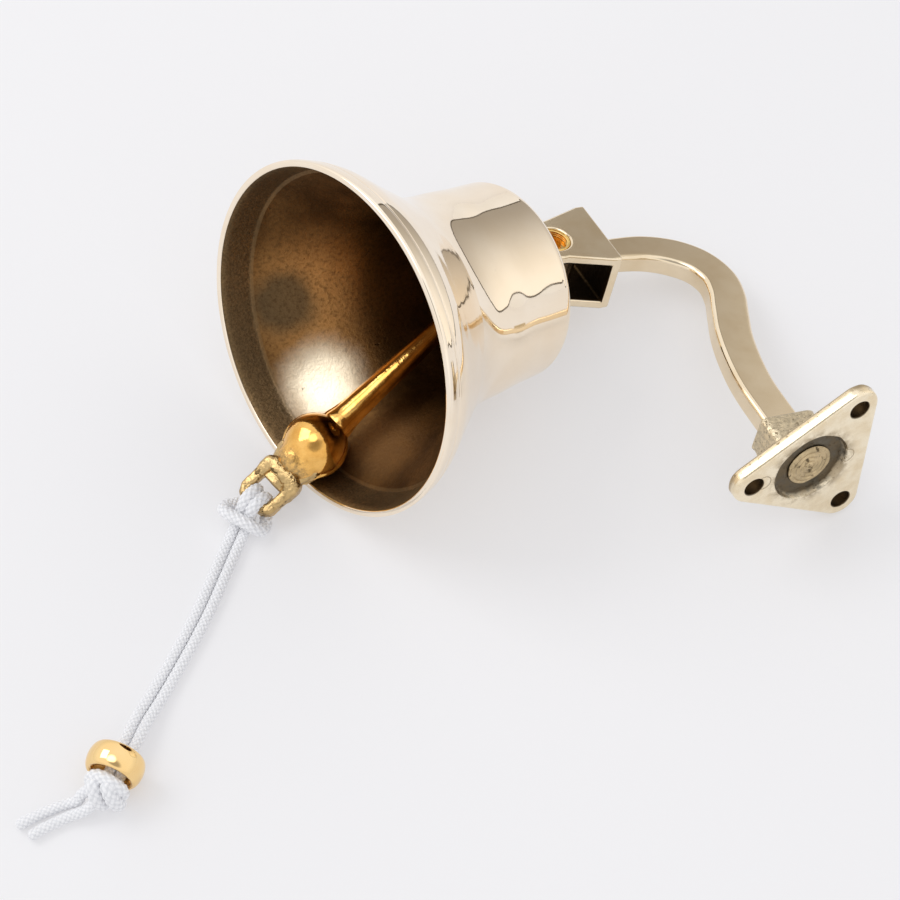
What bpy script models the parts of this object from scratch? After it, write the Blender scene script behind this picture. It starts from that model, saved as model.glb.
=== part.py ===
"""Small brass ship's bell on a swan-neck wall bracket, lying on its side on a table.

Frame: metres, +Z up, the table is the plane Z = 0.  The bell rests on its lip and its
shoulder with its crown towards +X.  Three local frames carry every piece:
  bell frame    origin at the mouth centre, local Z along the bell axis towards the crown
  yoke frame    origin on the hanger pin, local X along the pin, local Z away from the bell
  clapper frame origin on the clapper pin, local X along the pin, local Z towards the ball
"""
import math

import bmesh
import bpy
import numpy as np
from mathutils import Matrix, Vector

# ---------------------------------------------------------------- driving dimensions
GAP = 0.0003              # clearance between pieces that touch
CUT = 0.004               # how far a cutter runs past the face it cuts

# bell
MOUTH_R = 0.0500          # outer radius at the mouth
LIP_WALL = 0.0017         # flat face of the lip
BAND_DEPTH = 0.0088       # turned band inside the mouth
BAND_WALL = 0.0014
STEP = 0.0011             # ledge where the turned band meets the raw casting
WALL = 0.0024             # wall of the waist
CROWN_WALL = 0.0030
BODY_R = 0.0287           # radius just under the shoulder
SHOULDER_Z = 0.0612       # height of the shoulder above the mouth
SHOULDER_ROUND = 0.0036
CROWN_Z = 0.0695          # flat top of the crown
CROWN_FLAT_R = 0.0110
WAIST_CURVE = ((0.0012, 1.004695), (0.0034, 0.976526), (0.0080, 0.887324), (0.0140, 0.690141),
               (0.0205, 0.474178), (0.0270, 0.272300), (0.0330, 0.140845),
               (0.0390, 0.079812), (0.0460, 0.056338), (0.0530, 0.023474))
# WAIST_CURVE: height, and share of the way from the body radius out to the mouth radius
WAIST = tuple((height, BODY_R + share * (MOUTH_R - BODY_R)) for height, share in WAIST_CURVE)

# hanger on the crown
PIN_Z = 0.0802            # hanger pin above the mouth
PIN_R = 0.0046
LUG_HALF_W = 0.0078
LUG_FLANGE_R = 0.0100
LUG_FLANGE_H = 0.0014
STUD_R = 0.0040
WASHER_R = 0.0085
WASHER_H = 0.0010
NUT_FLATS = 0.0130        # across flats
NUT_H = 0.0030

# yoke: two cheeks and a back wall
YOKE_H = 0.0185           # over both cheeks, along the pin
CHEEK = 0.0028
YOKE_BACK = 0.0167        # pin to the outside of the back wall
YOKE_WALL = 0.0030
YOKE_BACK_HALF_W = 0.0123
YOKE_TIP_R = 0.0084
SOCKET_ACROSS = 0.0050    # hexagon socket in the hanger pin

# swan-neck arm, in the plane of the cheeks: (towards the wall, away from the bell)
ARM_PATH = ((0.0006, 0.0150), (0.0008, 0.0235), (0.0019, 0.0318), (0.0052, 0.0395),
            (0.0107, 0.0453), (0.0181, 0.0477), (0.0257, 0.0463), (0.0337, 0.0426),
            (0.0426, 0.0386), (0.0536, 0.0353), (0.0645, 0.0334), (0.0806, 0.0326))
ARM_H = 0.0064            # thickness, along the pin direction
ARM_W_START = 0.0088
ARM_W = 0.0114
FOOT_AT = 0.0326          # arm foot, away from the bell
FOOT_W = 0.0176
FOOT_H = 0.0120
FOOT_START = 0.0790       # towards the wall
TENON_R = 0.0046

# wall plate
WALL_REACH = 0.0954       # hanger pin to the wall
PLATE_T = 0.0041
PLATE_HOLE_SIDE = 0.0351  # triangle of the three screw holes
PLATE_HOLE_R = 0.0028
PLATE_CORNER_R = 0.0060
PLATE_OFFSET = 0.0024     # hole triangle beyond the arm foot
PLATE_TURN = math.radians(10.0)
RECESS_R = 0.0112
RECESS_DEPTH = 0.0016
RIVET_R = 0.0066
RIVET_H = 0.0010

# clapper
CLAPPER_PIVOT_Z = 0.0570  # above the mouth
CLAPPER_PLANE = math.radians(8.2)      # swing plane, turned about the bell axis
BALL_AT = 0.0660          # pivot to ball centre
BALL_R = 0.0088
NOSE_R = 0.0066
NOSE_AT = 0.0058          # nose centre beyond the ball centre
ROD_R_TOP = 0.0024
ROD_R_BALL = 0.0038
EYE_AT = 0.0836           # pivot to the middle of the lower eye
EYE_HALF_W = 0.0049       # middle line of the eye, across
EYE_HALF_L = 0.0058       # and along the clapper
EYE_BAR_R = 0.0016
EYE_TURN = math.radians(-20.0)
STAPLE_R = 0.0042
STAPLE_SLOT = 0.0036
STAPLE_PIN_R = 0.0012
TAB_R = 0.0030

# pose on the table
YOKE_SWING = math.radians(12.65)       # yoke against the bell axis
HANGER_ROLL = math.radians(5.30)       # pin against the upright plane of the axis

# lanyard
CORD_R = 0.00145
BEAD_R = 0.0079
BEAD_HOLE_R = 0.0056
BEAD_LEN = 0.0074

TURN_STEPS = 72
SMALL_STEPS = 24


# lanyard route: middle of the pair of strands, from the plan position of the mouth centre
STRAND_ROUTE = ((-0.0375, -0.0092, 0.0034), (-0.0405, -0.0110, 0.0022), (-0.0455, -0.0142, 0.0017),
                (-0.0530, -0.0194, 0.0017), (-0.0620, -0.0255, 0.0017), (-0.0710, -0.0309, 0.0017),
                (-0.0800, -0.0359, 0.0017), (-0.0880, -0.0403, 0.0022), (-0.0940, -0.0437, 0.0034),
                (-0.1000, -0.0477, 0.0044), (-0.1081, -0.0529, 0.0046), (-0.1109, -0.0547, 0.0046))
BEAD_CENTRE = (-0.1081, -0.0529)
BEAD_HEADING = (-0.840, -0.542)
KNOT_RADII = (0.0045, 0.0055, 0.0044)      # along the strands, across them, upright
TAIL_ROUTES = {
    "lanyard_tail_upper": ((-0.1208, -0.0528, 0.0030), (-0.1240, -0.0508, 0.0020),
                           (-0.1278, -0.0493, 0.0017), (-0.1325, -0.0484, 0.0017),
                           (-0.1376, -0.0478, 0.0017)),
    "lanyard_tail_lower": ((-0.1216, -0.0572, 0.0030), (-0.1245, -0.0562, 0.0020),
                           (-0.1280, -0.0558, 0.0017), (-0.1325, -0.0555, 0.0017),
                           (-0.1365, -0.0554, 0.0017)),
}
STRAND_SPACING = 0.0032
LANYARD = "lanyard_"      # every piece of the lanyard has this in its name


# ---------------------------------------------------------------- scene and materials
def clear_scene():
    for obj in list(bpy.data.objects):
        bpy.data.objects.remove(obj, do_unlink=True)


def new_collection(name):
    collection = bpy.data.collections.new(name)
    bpy.context.scene.collection.children.link(collection)
    return collection


def material(name, colour, roughness, metallic):
    mat = bpy.data.materials.new(name)
    mat.use_nodes = True
    shader = mat.node_tree.nodes["Principled BSDF"]
    shader.inputs["Base Color"].default_value = (*colour, 1.0)
    shader.inputs["Roughness"].default_value = roughness
    shader.inputs["Metallic"].default_value = metallic
    return mat


clear_scene()
PARTS = new_collection("ship_bell")
CUTTERS = new_collection("cutters")
FINISHES = {
    "polished_brass": material("polished_brass", (0.86, 0.72, 0.48), 0.10, 1.0),
    "golden_brass": material("golden_brass", (0.83, 0.52, 0.17), 0.14, 1.0),
    "plated_steel": material("plated_steel", (0.62, 0.55, 0.42), 0.35, 1.0),
    "white_cord": material("white_cord", (0.90, 0.90, 0.91), 0.85, 0.0),
}


# ---------------------------------------------------------------- shape helpers
def place(name, mesh, frame, finish=None):
    """A new object at a local frame: a part if it has a finish, else a cutter."""
    obj = bpy.data.objects.new(name, mesh)
    obj.matrix_world = frame
    if finish:
        PARTS.objects.link(obj)
        mesh.materials.clear()
        mesh.materials.append(FINISHES[finish])
        mesh.shade_smooth()
        mesh.set_sharp_from_angle(angle=math.radians(35))
    else:
        CUTTERS.objects.link(obj)
        obj.hide_render = True
        obj.display_type = "WIRE"
    return obj


def turned(name, profile, frame, finish=None, steps=TURN_STEPS, closed=False):
    """A profile of (radius, height) points turned about local Z."""
    mesh = bpy.data.meshes.new(name)
    edges = [(i, i + 1) for i in range(len(profile) - 1)]
    if closed:
        edges.append((len(profile) - 1, 0))
    mesh.from_pydata([(r, 0.0, z) for r, z in profile], edges, [])
    obj = place(name, mesh, frame, finish)
    screw = obj.modifiers.new("Turn", "SCREW")
    screw.axis = "Z"
    screw.steps = steps
    screw.render_steps = steps
    screw.use_merge_vertices = True
    screw.merge_threshold = 0.00001
    screw.use_smooth_shade = True
    return obj


def cylinder_profile(radius, low, high, bore=0.0):
    """Profile of a plain disc or sleeve, down its outer side."""
    if bore:
        return [(bore, high), (radius, high), (radius, low), (bore, low)]
    return [(0.0, high), (radius, high), (radius, low), (0.0, low)]


def box(name, low, high, frame, finish=None):
    bm = bmesh.new()
    bmesh.ops.create_cube(bm, size=1.0)
    size = Vector(high) - Vector(low)
    middle = (Vector(high) + Vector(low)) / 2
    bmesh.ops.scale(bm, vec=size, verts=bm.verts)
    bmesh.ops.translate(bm, vec=middle, verts=bm.verts)
    mesh = bpy.data.meshes.new(name)
    bm.to_mesh(mesh)
    bm.free()
    return place(name, mesh, frame, finish)


def curve_to_mesh(name, curve, frame, finish=None):
    """The solid of a filled or bevelled curve, with its caps welded on."""
    guide = bpy.data.objects.new(name + "_guide", curve)
    CUTTERS.objects.link(guide)
    evaluated = guide.evaluated_get(bpy.context.evaluated_depsgraph_get())
    mesh = bpy.data.meshes.new_from_object(evaluated)
    bpy.data.objects.remove(guide, do_unlink=True)
    bm = bmesh.new()
    bm.from_mesh(mesh)
    bmesh.ops.remove_doubles(bm, verts=bm.verts, dist=0.000002)
    bmesh.ops.recalc_face_normals(bm, faces=bm.faces)
    bm.to_mesh(mesh)
    bm.free()
    return place(name, mesh, frame, finish)


def poly_curve(name, points, dimensions, cyclic):
    curve = bpy.data.curves.new(name, "CURVE")
    curve.dimensions = dimensions
    curve.render_resolution_u = 0
    spline = curve.splines.new("POLY")
    spline.points.add(len(points) - 1)
    for spot, point in zip(spline.points, points):
        spot.co = (*point, 0.0, 1.0) if dimensions == "2D" else (*point, 1.0)
    spline.use_cyclic_u = cyclic
    return curve


def slab(name, outline, thickness, frame, finish=None):
    """A flat outline in local XY, extruded to a thickness that is centred on Z = 0."""
    curve = poly_curve(name, outline, "2D", True)
    curve.fill_mode = "BOTH"
    curve.extrude = thickness / 2
    return curve_to_mesh(name, curve, frame, finish)


def tube(name, points, radius, frame, finish=None, cyclic=False, resolution=2):
    curve = poly_curve(name, points, "3D", cyclic)
    curve.bevel_depth = radius
    curve.bevel_resolution = resolution
    curve.use_fill_caps = not cyclic
    return curve_to_mesh(name, curve, frame, finish)


def boolean(obj, other, operation="DIFFERENCE"):
    modifier = obj.modifiers.new(operation.title(), "BOOLEAN")
    modifier.operation = operation
    modifier.solver = "EXACT"
    modifier.object = other


def smooth(points, per_span):
    """Points on the Catmull-Rom curve through the given points."""
    knots = [Vector(p) for p in points]
    knots = [2 * knots[0] - knots[1]] + knots + [2 * knots[-1] - knots[-2]]
    out = []
    for p0, p1, p2, p3 in zip(knots, knots[1:], knots[2:], knots[3:]):
        for i in range(per_span):
            t = i / per_span
            bend = (2 * p0 - 5 * p1 + 4 * p2 - p3) * t * t + (3 * p1 - p0 - 3 * p2 + p3) * t ** 3
            out.append((2 * p1 + (p2 - p0) * t + bend) / 2)
    out.append(knots[-2])
    return out


def arc(centre, radius, start, end, steps):
    """Points of a circle arc; angles in degrees."""
    angles = np.radians(np.linspace(start, end, steps))
    return [(centre[0] + radius * math.cos(a), centre[1] + radius * math.sin(a)) for a in angles]


# ---------------------------------------------------------------- bell profile and pose
def outer_profile():
    """(radius, height) from the crown's flat top down to the mouth."""
    shoulder_mid = (BODY_R - SHOULDER_ROUND, SHOULDER_Z)
    shoulder = arc(shoulder_mid, SHOULDER_ROUND, 90, 0, 7)
    dome = [(CROWN_FLAT_R, CROWN_Z)]
    rise = CROWN_Z - shoulder[0][1]
    span = shoulder[0][0] - CROWN_FLAT_R
    for part in (0.25, 0.5, 0.75):
        ease = (1 + math.cos(math.pi * part)) / 2
        dome.append((CROWN_FLAT_R + span * part, shoulder[0][1] + rise * ease))
    side = [(r, h) for h, r in reversed(WAIST)]
    return dome + shoulder + side + [(MOUTH_R, 0.0)]


def inner_profile():
    """(radius, height) from the mouth up the inside to the crown's flat."""
    outer = [p for p in outer_profile() if p[1] > BAND_DEPTH * 1.3 and p[0] > CROWN_FLAT_R + 0.001]
    mouth = MOUTH_R - LIP_WALL
    outside_here = float(np.interp(BAND_DEPTH, [h for h, _ in WAIST], [r for _, r in WAIST]))
    band_top = outside_here - BAND_WALL
    points = [(mouth, 0.0), (mouth - 0.0007, 0.0016), ((mouth + band_top) / 2 - 0.0002, BAND_DEPTH / 2)]
    points += [(band_top, BAND_DEPTH - 0.0003), (band_top - STEP, BAND_DEPTH)]
    for r, h in reversed(outer):
        share = max(0.0, (h - SHOULDER_Z) / (CROWN_Z - SHOULDER_Z))
        points.append((r - WALL * (1 - share), h - CROWN_WALL * share))
    points.append((CROWN_FLAT_R - 0.0008, CROWN_Z - CROWN_WALL))
    return points


def drop(points, tilt):
    """How far the lowest of some profile points lies under the mouth centre."""
    return max(h * math.sin(tilt) + r * math.cos(tilt) for r, h in points)


def table_tilt():
    """Dip of the axis when lip and shoulder both touch the table."""
    outer = outer_profile()
    lip = [p for p in outer if p[1] < SHOULDER_Z / 2]
    shoulder = [p for p in outer if p[1] >= SHOULDER_Z / 2]
    low, high = 0.1, 0.8
    for _ in range(40):
        tilt = (low + high) / 2
        if drop(lip, tilt) > drop(shoulder, tilt):
            low = tilt
        else:
            high = tilt
    return low


def bell_frame():
    tilt = table_tilt()
    height = drop(outer_profile(), tilt)
    turn = Matrix(((math.sin(tilt), 0.0, math.cos(tilt)),
                   (0.0, -1.0, 0.0),
                   (math.cos(tilt), 0.0, -math.sin(tilt)))).to_4x4()
    return Matrix.Translation((0.0, 0.0, height)) @ turn


def gap_to_inside(radius, height):
    """Distance from a point of the meridian plane to the inside wall's profile."""
    wall = np.array(inner_profile())
    start, run = wall[:-1], np.diff(wall, axis=0)
    to_point = np.array((radius, height)) - start
    share = np.clip((to_point * run).sum(1) / (run * run).sum(1), 0, 1)
    return float(np.hypot(*(to_point - run * share[:, None]).T).min())


def clapper_lean():
    """Angle between clapper and bell axis when the ball lies on the inside wall."""
    low, high = 0.2, 0.9
    for _ in range(40):
        lean = (low + high) / 2
        room = []
        for reach, size in ((BALL_AT, BALL_R), (BALL_AT + NOSE_AT, NOSE_R)):
            spot = (reach * math.sin(lean), CLAPPER_PIVOT_Z - reach * math.cos(lean))
            room.append(gap_to_inside(*spot) - size)
        if min(room) > GAP:
            low = lean
        else:
            high = lean
    return low


BELL = bell_frame()
HANGER = BELL @ Matrix.Rotation(-HANGER_ROLL, 4, "Z")
YOKE = HANGER @ Matrix.Translation((0, 0, PIN_Z)) @ Matrix.Rotation(-YOKE_SWING, 4, "X")
STAPLE = (BELL @ Matrix.Translation((0, 0, CLAPPER_PIVOT_Z))
          @ Matrix.Rotation(math.pi / 2 - CLAPPER_PLANE, 4, "Z"))
CLAPPER = STAPLE @ Matrix.Rotation(math.pi + clapper_lean(), 4, "X")
ALONG_X = Matrix.Rotation(math.pi / 2, 4, "Y")      # turns a solid's local Z onto X
ON_EDGE = Matrix(((0, 0, 1, 0), (1, 0, 0, 0), (0, 1, 0, 0), (0, 0, 0, 1)))   # slab's X, Y, Z onto Y, Z, X


# ---------------------------------------------------------------- bell
def make_bell_shell():
    bore = STUD_R + GAP
    outline = outer_profile() + inner_profile()
    outline += [(bore, CROWN_Z - CROWN_WALL), (bore, CROWN_Z)]
    turned("bell_shell", outline, BELL, "polished_brass", closed=True)


def make_crown_lug():
    """Flange, rounded tab and threaded stud in one casting."""
    seat = CROWN_Z + GAP
    half_h = YOKE_H / 2 - CHEEK - GAP
    tab_low = seat + LUG_FLANGE_H / 2
    outline = [(-LUG_HALF_W, tab_low), (LUG_HALF_W, tab_low)]
    outline += arc((0.0, PIN_Z), LUG_HALF_W, 0, 180, 13)
    lug = slab("crown_lug", outline, 2 * half_h, HANGER @ ON_EDGE, "polished_brass")
    stud_end = CLAPPER_PIVOT_Z + STAPLE_R + 0.0022
    stud = [(0.0, seat + LUG_FLANGE_H), (LUG_FLANGE_R - 0.0006, seat + LUG_FLANGE_H),
            (LUG_FLANGE_R, seat + LUG_FLANGE_H - 0.0006), (LUG_FLANGE_R, seat),
            (STUD_R, seat), (STUD_R, stud_end), (0.0, stud_end)]
    base = turned("crown_lug_flange", stud, HANGER, steps=36)
    hole = turned("crown_lug_bore", cylinder_profile(PIN_R + GAP, -half_h - CUT, half_h + CUT),
                  HANGER @ Matrix.Translation((0, 0, PIN_Z)) @ ALONG_X, steps=36)
    boolean(lug, base, "UNION")
    boolean(lug, hole)


def make_crown_fasteners():
    top = CROWN_Z - CROWN_WALL - GAP
    bore = STUD_R + GAP
    washer = cylinder_profile(WASHER_R, top - WASHER_H, top, bore)
    turned("crown_washer", washer, BELL, "plated_steel", steps=36, closed=True)
    nut_top = top - WASHER_H - GAP
    corner_r = NUT_FLATS / math.sqrt(3)
    nut_body = turned("crown_nut", cylinder_profile(corner_r, nut_top - NUT_H, nut_top), BELL,
                      "plated_steel", steps=6)
    thread = turned("crown_nut_bore", cylinder_profile(bore, nut_top - NUT_H - CUT, nut_top + CUT),
                    BELL, steps=36)
    boolean(nut_body, thread)


def make_staple():
    """Fork under the nut that carries the clapper pin; it screws onto the stud."""
    nut_low = CROWN_Z - CROWN_WALL - 3 * GAP - WASHER_H - NUT_H
    top = nut_low - CLAPPER_PIVOT_Z
    profile = [(0.0, top), (STAPLE_R + 0.0016, top), (STAPLE_R + 0.0016, 0.0)]
    profile += arc((0.0, 0.0), STAPLE_R + 0.0016, 0, -40, 4)[1:]
    low = profile[-1]
    profile += [(0.0, low[1])]
    staple = turned("clapper_staple", profile, STAPLE, "golden_brass", steps=36)
    slot = box("staple_slot", (-STAPLE_SLOT / 2, -0.02, -0.02),
               (STAPLE_SLOT / 2, 0.02, TAB_R + 0.0007), STAPLE)
    socket = turned("staple_socket", cylinder_profile(STUD_R + GAP, TAB_R + 0.0018, top + CUT),
                    STAPLE, steps=36)
    bore = turned("staple_bore", cylinder_profile(STAPLE_PIN_R + GAP / 2, -0.02, 0.02),
                  STAPLE @ ALONG_X, steps=SMALL_STEPS)
    for cutter in (slot, socket, bore):
        boolean(staple, cutter)
    reach = STAPLE_R + 0.0022
    turned("clapper_pin", cylinder_profile(STAPLE_PIN_R, -reach, reach), STAPLE @ ALONG_X,
           "plated_steel", steps=SMALL_STEPS)


# ---------------------------------------------------------------- clapper
def clapper_profile():
    """Tapered rod, main ball and smaller nose, turned about the clapper's own axis."""
    points = [(0.0, BALL_AT + NOSE_AT + NOSE_R)]
    points += [(r, BALL_AT + NOSE_AT + h) for r, h in arc((0.0, 0.0), NOSE_R, 75, 8, 6)]
    waist = (NOSE_R - 0.0003, BALL_AT + NOSE_AT - 0.0005)
    points.append(waist)
    points += [(r, BALL_AT + h) for r, h in arc((0.0, 0.0), BALL_R, 34, -60, 12)]
    points += [(ROD_R_BALL + 0.0005, BALL_AT - BALL_R - 0.0003)]
    points += [(ROD_R_BALL, BALL_AT - BALL_R - 0.0015)]
    return points


def make_clapper():
    top = TAB_R + 0.0021
    points = clapper_profile()
    points += [(ROD_R_TOP, top + 0.0006), (ROD_R_TOP - 0.0006, top), (0.0, top)]
    body = turned("clapper", points, CLAPPER, "golden_brass", steps=32)
    tab_t = STAPLE_SLOT - 2 * GAP
    tab = turned("clapper_tab", cylinder_profile(TAB_R, -tab_t / 2, tab_t / 2), CLAPPER @ ALONG_X,
                 steps=SMALL_STEPS)
    neck = box("clapper_neck", (-tab_t / 2, -0.0019, 0.0), (tab_t / 2, 0.0019, top + 0.0030), CLAPPER)
    bore = turned("clapper_bore", cylinder_profile(STAPLE_PIN_R + GAP, -0.01, 0.01),
                  CLAPPER @ ALONG_X, steps=SMALL_STEPS)
    ring = []
    for angle in np.radians(np.arange(0, 360, 12)):
        side = math.copysign(math.sqrt(abs(math.cos(angle))), math.cos(angle))
        end = math.copysign(math.sqrt(abs(math.sin(angle))), math.sin(angle))
        ring.append((EYE_HALF_W * side, 0.0, EYE_AT + EYE_HALF_L * end))
    eye = tube("clapper_eye", ring, EYE_BAR_R, CLAPPER @ Matrix.Rotation(EYE_TURN, 4, "Z"),
               cyclic=True, resolution=3)
    boolean(body, tab, "UNION")
    boolean(body, neck, "UNION")
    boolean(body, eye, "UNION")
    boolean(body, bore)


# ---------------------------------------------------------------- bracket
def make_yoke():
    outline = [(-YOKE_BACK_HALF_W, YOKE_BACK), (-YOKE_BACK_HALF_W, YOKE_BACK - YOKE_WALL)]
    outline += arc((0.0, 0.0), YOKE_TIP_R, 172, 368, 19)
    outline += [(YOKE_BACK_HALF_W, YOKE_BACK - YOKE_WALL), (YOKE_BACK_HALF_W, YOKE_BACK)]
    yoke = slab("hanger_yoke", outline, YOKE_H, YOKE @ ON_EDGE, "polished_brass")
    half_slot = YOKE_H / 2 - CHEEK
    slot = box("yoke_slot", (-half_slot, -0.03, -0.03), (half_slot, 0.03, YOKE_BACK - YOKE_WALL), YOKE)
    hole = turned("yoke_hole", cylinder_profile(PIN_R + GAP, -CUT, YOKE_H), YOKE @ ALONG_X, steps=36)
    blind = turned("yoke_blind_hole",
                   cylinder_profile(PIN_R + GAP, -YOKE_H / 2 + CHEEK * 0.35, CUT),
                   YOKE @ ALONG_X, steps=36)
    for cutter in (slot, hole, blind):
        boolean(yoke, cutter)


def make_hanger_pin():
    low = -YOKE_H / 2 + CHEEK * 0.35 + GAP
    high = YOKE_H / 2 - CHEEK + 0.0009
    pin = turned("hanger_pin", cylinder_profile(PIN_R, low, high), YOKE @ ALONG_X, "plated_steel",
                 steps=36)
    socket = turned("hanger_pin_socket",
                    cylinder_profile(SOCKET_ACROSS / math.sqrt(3), high - 0.0030, high + CUT),
                    YOKE @ ALONG_X, steps=6)
    boolean(pin, socket)


def make_arm():
    """Swan-neck bar of one thickness that widens to a block and ends in a round tenon."""
    path = smooth([(wall, away, 0.0) for wall, away in ARM_PATH], 5)
    start = YOKE_BACK + GAP
    path = [p for p in path if p.y > start or p.x > ARM_W]
    path = [Vector((ARM_PATH[0][0], start, 0.0))] + path
    left, right = [], []
    for i, spot in enumerate(path):
        ahead = path[min(i + 1, len(path) - 1)] - path[max(i - 1, 0)]
        if i == 0:
            ahead = Vector((0.0, 1.0, 0.0))
        if i == len(path) - 1:
            ahead = Vector((1.0, 0.0, 0.0))
        side = Vector((-ahead.y, ahead.x, 0.0)).normalized()
        grown = min(1.0, i / 12)
        half = (ARM_W_START + (ARM_W - ARM_W_START) * grown) / 2
        left.append((spot + side * half)[:2])
        right.append((spot - side * half)[:2])
    arm = slab("bracket_arm", left + right[::-1], ARM_H, YOKE @ ON_EDGE, "polished_brass")
    plate_front = WALL_REACH - PLATE_T
    foot = box("arm_foot", (-FOOT_H / 2, FOOT_START, FOOT_AT - FOOT_W / 2),
               (FOOT_H / 2, plate_front - GAP, FOOT_AT + FOOT_W / 2), YOKE)
    along_y = Matrix.Rotation(-math.pi / 2, 4, "X")
    tenon_end = WALL_REACH - RECESS_DEPTH - GAP / 2
    tenon = turned("arm_tenon", cylinder_profile(TENON_R, plate_front - 0.003, tenon_end),
                   YOKE @ Matrix.Translation((0, 0, FOOT_AT)) @ along_y, steps=36)
    boolean(arm, foot, "UNION")
    boolean(arm, tenon, "UNION")


def plate_frame():
    """On the plate's back face: local Z into the wall, local X towards the odd corner."""
    centre = Matrix.Translation((0, WALL_REACH, FOOT_AT + PLATE_OFFSET))
    turn = Matrix(((0, -1, 0, 0), (0, 0, 1, 0), (-1, 0, 0, 0), (0, 0, 0, 1)))
    return YOKE @ centre @ turn @ Matrix.Rotation(PLATE_TURN, 4, "Z")


def make_wall_plate():
    frame = plate_frame()
    out = PLATE_HOLE_SIDE / math.sqrt(3)
    corners = [(out * math.cos(a), out * math.sin(a)) for a in np.radians((0, 120, 240))]
    outline = []
    for i, corner in enumerate(corners):
        outline += arc(corner, PLATE_CORNER_R, 120 * i - 60, 120 * i + 60, 11)
    low = frame @ Matrix.Translation((0, 0, -PLATE_T / 2))
    plate = slab("wall_plate", outline, PLATE_T, low, "polished_brass")
    for i, corner in enumerate(corners):
        hole = turned(f"screw_hole_{i + 1}", cylinder_profile(PLATE_HOLE_R, -PLATE_T - CUT, CUT),
                      frame @ Matrix.Translation((*corner, 0)), steps=SMALL_STEPS)
        boolean(plate, hole)
    centre = frame @ Matrix.Rotation(-PLATE_TURN, 4, "Z") @ Matrix.Translation((PLATE_OFFSET, 0, 0))
    recess = turned("plate_recess", cylinder_profile(RECESS_R, -RECESS_DEPTH, CUT), centre, steps=48)
    bore = turned("plate_bore", cylinder_profile(TENON_R + GAP, -PLATE_T - CUT, CUT), centre, steps=36)
    boolean(plate, recess)
    boolean(plate, bore)
    rivet_low = -RECESS_DEPTH + GAP
    dome = [(0.0, rivet_low + RIVET_H), (RIVET_R * 0.55, rivet_low + RIVET_H * 0.9),
            (RIVET_R * 0.85, rivet_low + RIVET_H * 0.6), (RIVET_R, rivet_low + RIVET_H * 0.2),
            (RIVET_R, rivet_low), (0.0, rivet_low)]
    turned("arm_rivet", dome, centre, "golden_brass", steps=36)


# ---------------------------------------------------------------- lanyard
def eye_bar_frame():
    """Middle of the far bar of the eye: local X along the bar, local Z away from the ball."""
    turn = Matrix.Rotation(EYE_TURN, 4, "Z")
    return CLAPPER @ turn @ Matrix.Translation((0, 0, EYE_AT + EYE_HALF_L))


def make_hitch():
    """Cow hitch round the bar of the eye: a sleeve on the bar and the collar beside it."""
    bar = eye_bar_frame()
    inner = EYE_BAR_R + GAP
    outer = EYE_BAR_R + 2 * CORD_R - 0.0001
    half = 0.0026
    collar = tube("lanyard_hitch", [(-half, 0, 0), (half, 0, 0)], outer, bar, "white_cord", resolution=4)
    start = bar @ Vector((0, 0, outer - 0.0014))
    end = bar @ Vector((0, 0, outer + 0.0004))
    body = tube("hitch_body", [start, end], CORD_R * 1.7, Matrix.Identity(4), resolution=4)
    hole = tube("hitch_hole", [(-half - CUT, 0, 0), (half + CUT, 0, 0)], inner, bar, resolution=4)
    boolean(collar, body, "UNION")
    boolean(collar, hole)


def make_strands():
    middle = smooth(STRAND_ROUTE, 3)
    for name, hand in (("lanyard_strand_near", 1.0), ("lanyard_strand_far", -1.0)):
        points = []
        for i, spot in enumerate(middle):
            ahead = middle[min(i + 1, len(middle) - 1)] - middle[max(i - 1, 0)]
            side = Vector((-ahead.y, ahead.x, 0.0)).normalized()
            points.append(spot + side * hand * STRAND_SPACING / 2)
        tube(name, points, CORD_R, Matrix.Identity(4), "white_cord")


def make_bead():
    heading = Vector((*BEAD_HEADING, 0.0)).normalized()
    up = Vector((0, 0, 1))
    side = up.cross(heading)
    turn = Matrix((side, up, heading)).transposed().to_4x4()
    spot = Vector((*BEAD_CENTRE, BEAD_R + 0.0002))
    half = BEAD_LEN / 2
    profile = [(BEAD_HOLE_R, half - 0.0006), (BEAD_HOLE_R + 0.0006, half)]
    for angle in np.radians(np.linspace(62, -62, 9)):
        swell = (BEAD_R - BEAD_HOLE_R - 0.0010) * math.cos(angle)
        profile.append((BEAD_HOLE_R + 0.0010 + swell, half * math.sin(angle) / math.sin(math.radians(66))))
    profile += [(BEAD_HOLE_R + 0.0006, -half), (BEAD_HOLE_R, -half + 0.0006)]
    turned("lanyard_bead", profile, Matrix.Translation(spot) @ turn, "golden_brass", steps=36, closed=True)


def make_knot():
    heading = Vector((*BEAD_HEADING, 0.0)).normalized()
    bm = bmesh.new()
    bmesh.ops.create_uvsphere(bm, u_segments=20, v_segments=12, radius=1.0)
    bmesh.ops.scale(bm, vec=KNOT_RADII, verts=bm.verts)
    mesh = bpy.data.meshes.new("lanyard_knot")
    bm.to_mesh(mesh)
    bm.free()
    spot = Vector((*BEAD_CENTRE, KNOT_RADII[2] + 0.0002))
    spot += heading * (BEAD_LEN / 2 + GAP + KNOT_RADII[0])
    turn = Matrix.Rotation(math.atan2(heading.y, heading.x), 4, "Z")
    place("lanyard_knot", mesh, Matrix.Translation(spot) @ turn, "white_cord")


def make_tails():
    for name, route in TAIL_ROUTES.items():
        tube(name, smooth(route, 2), CORD_R, Matrix.Identity(4), "white_cord")


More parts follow.
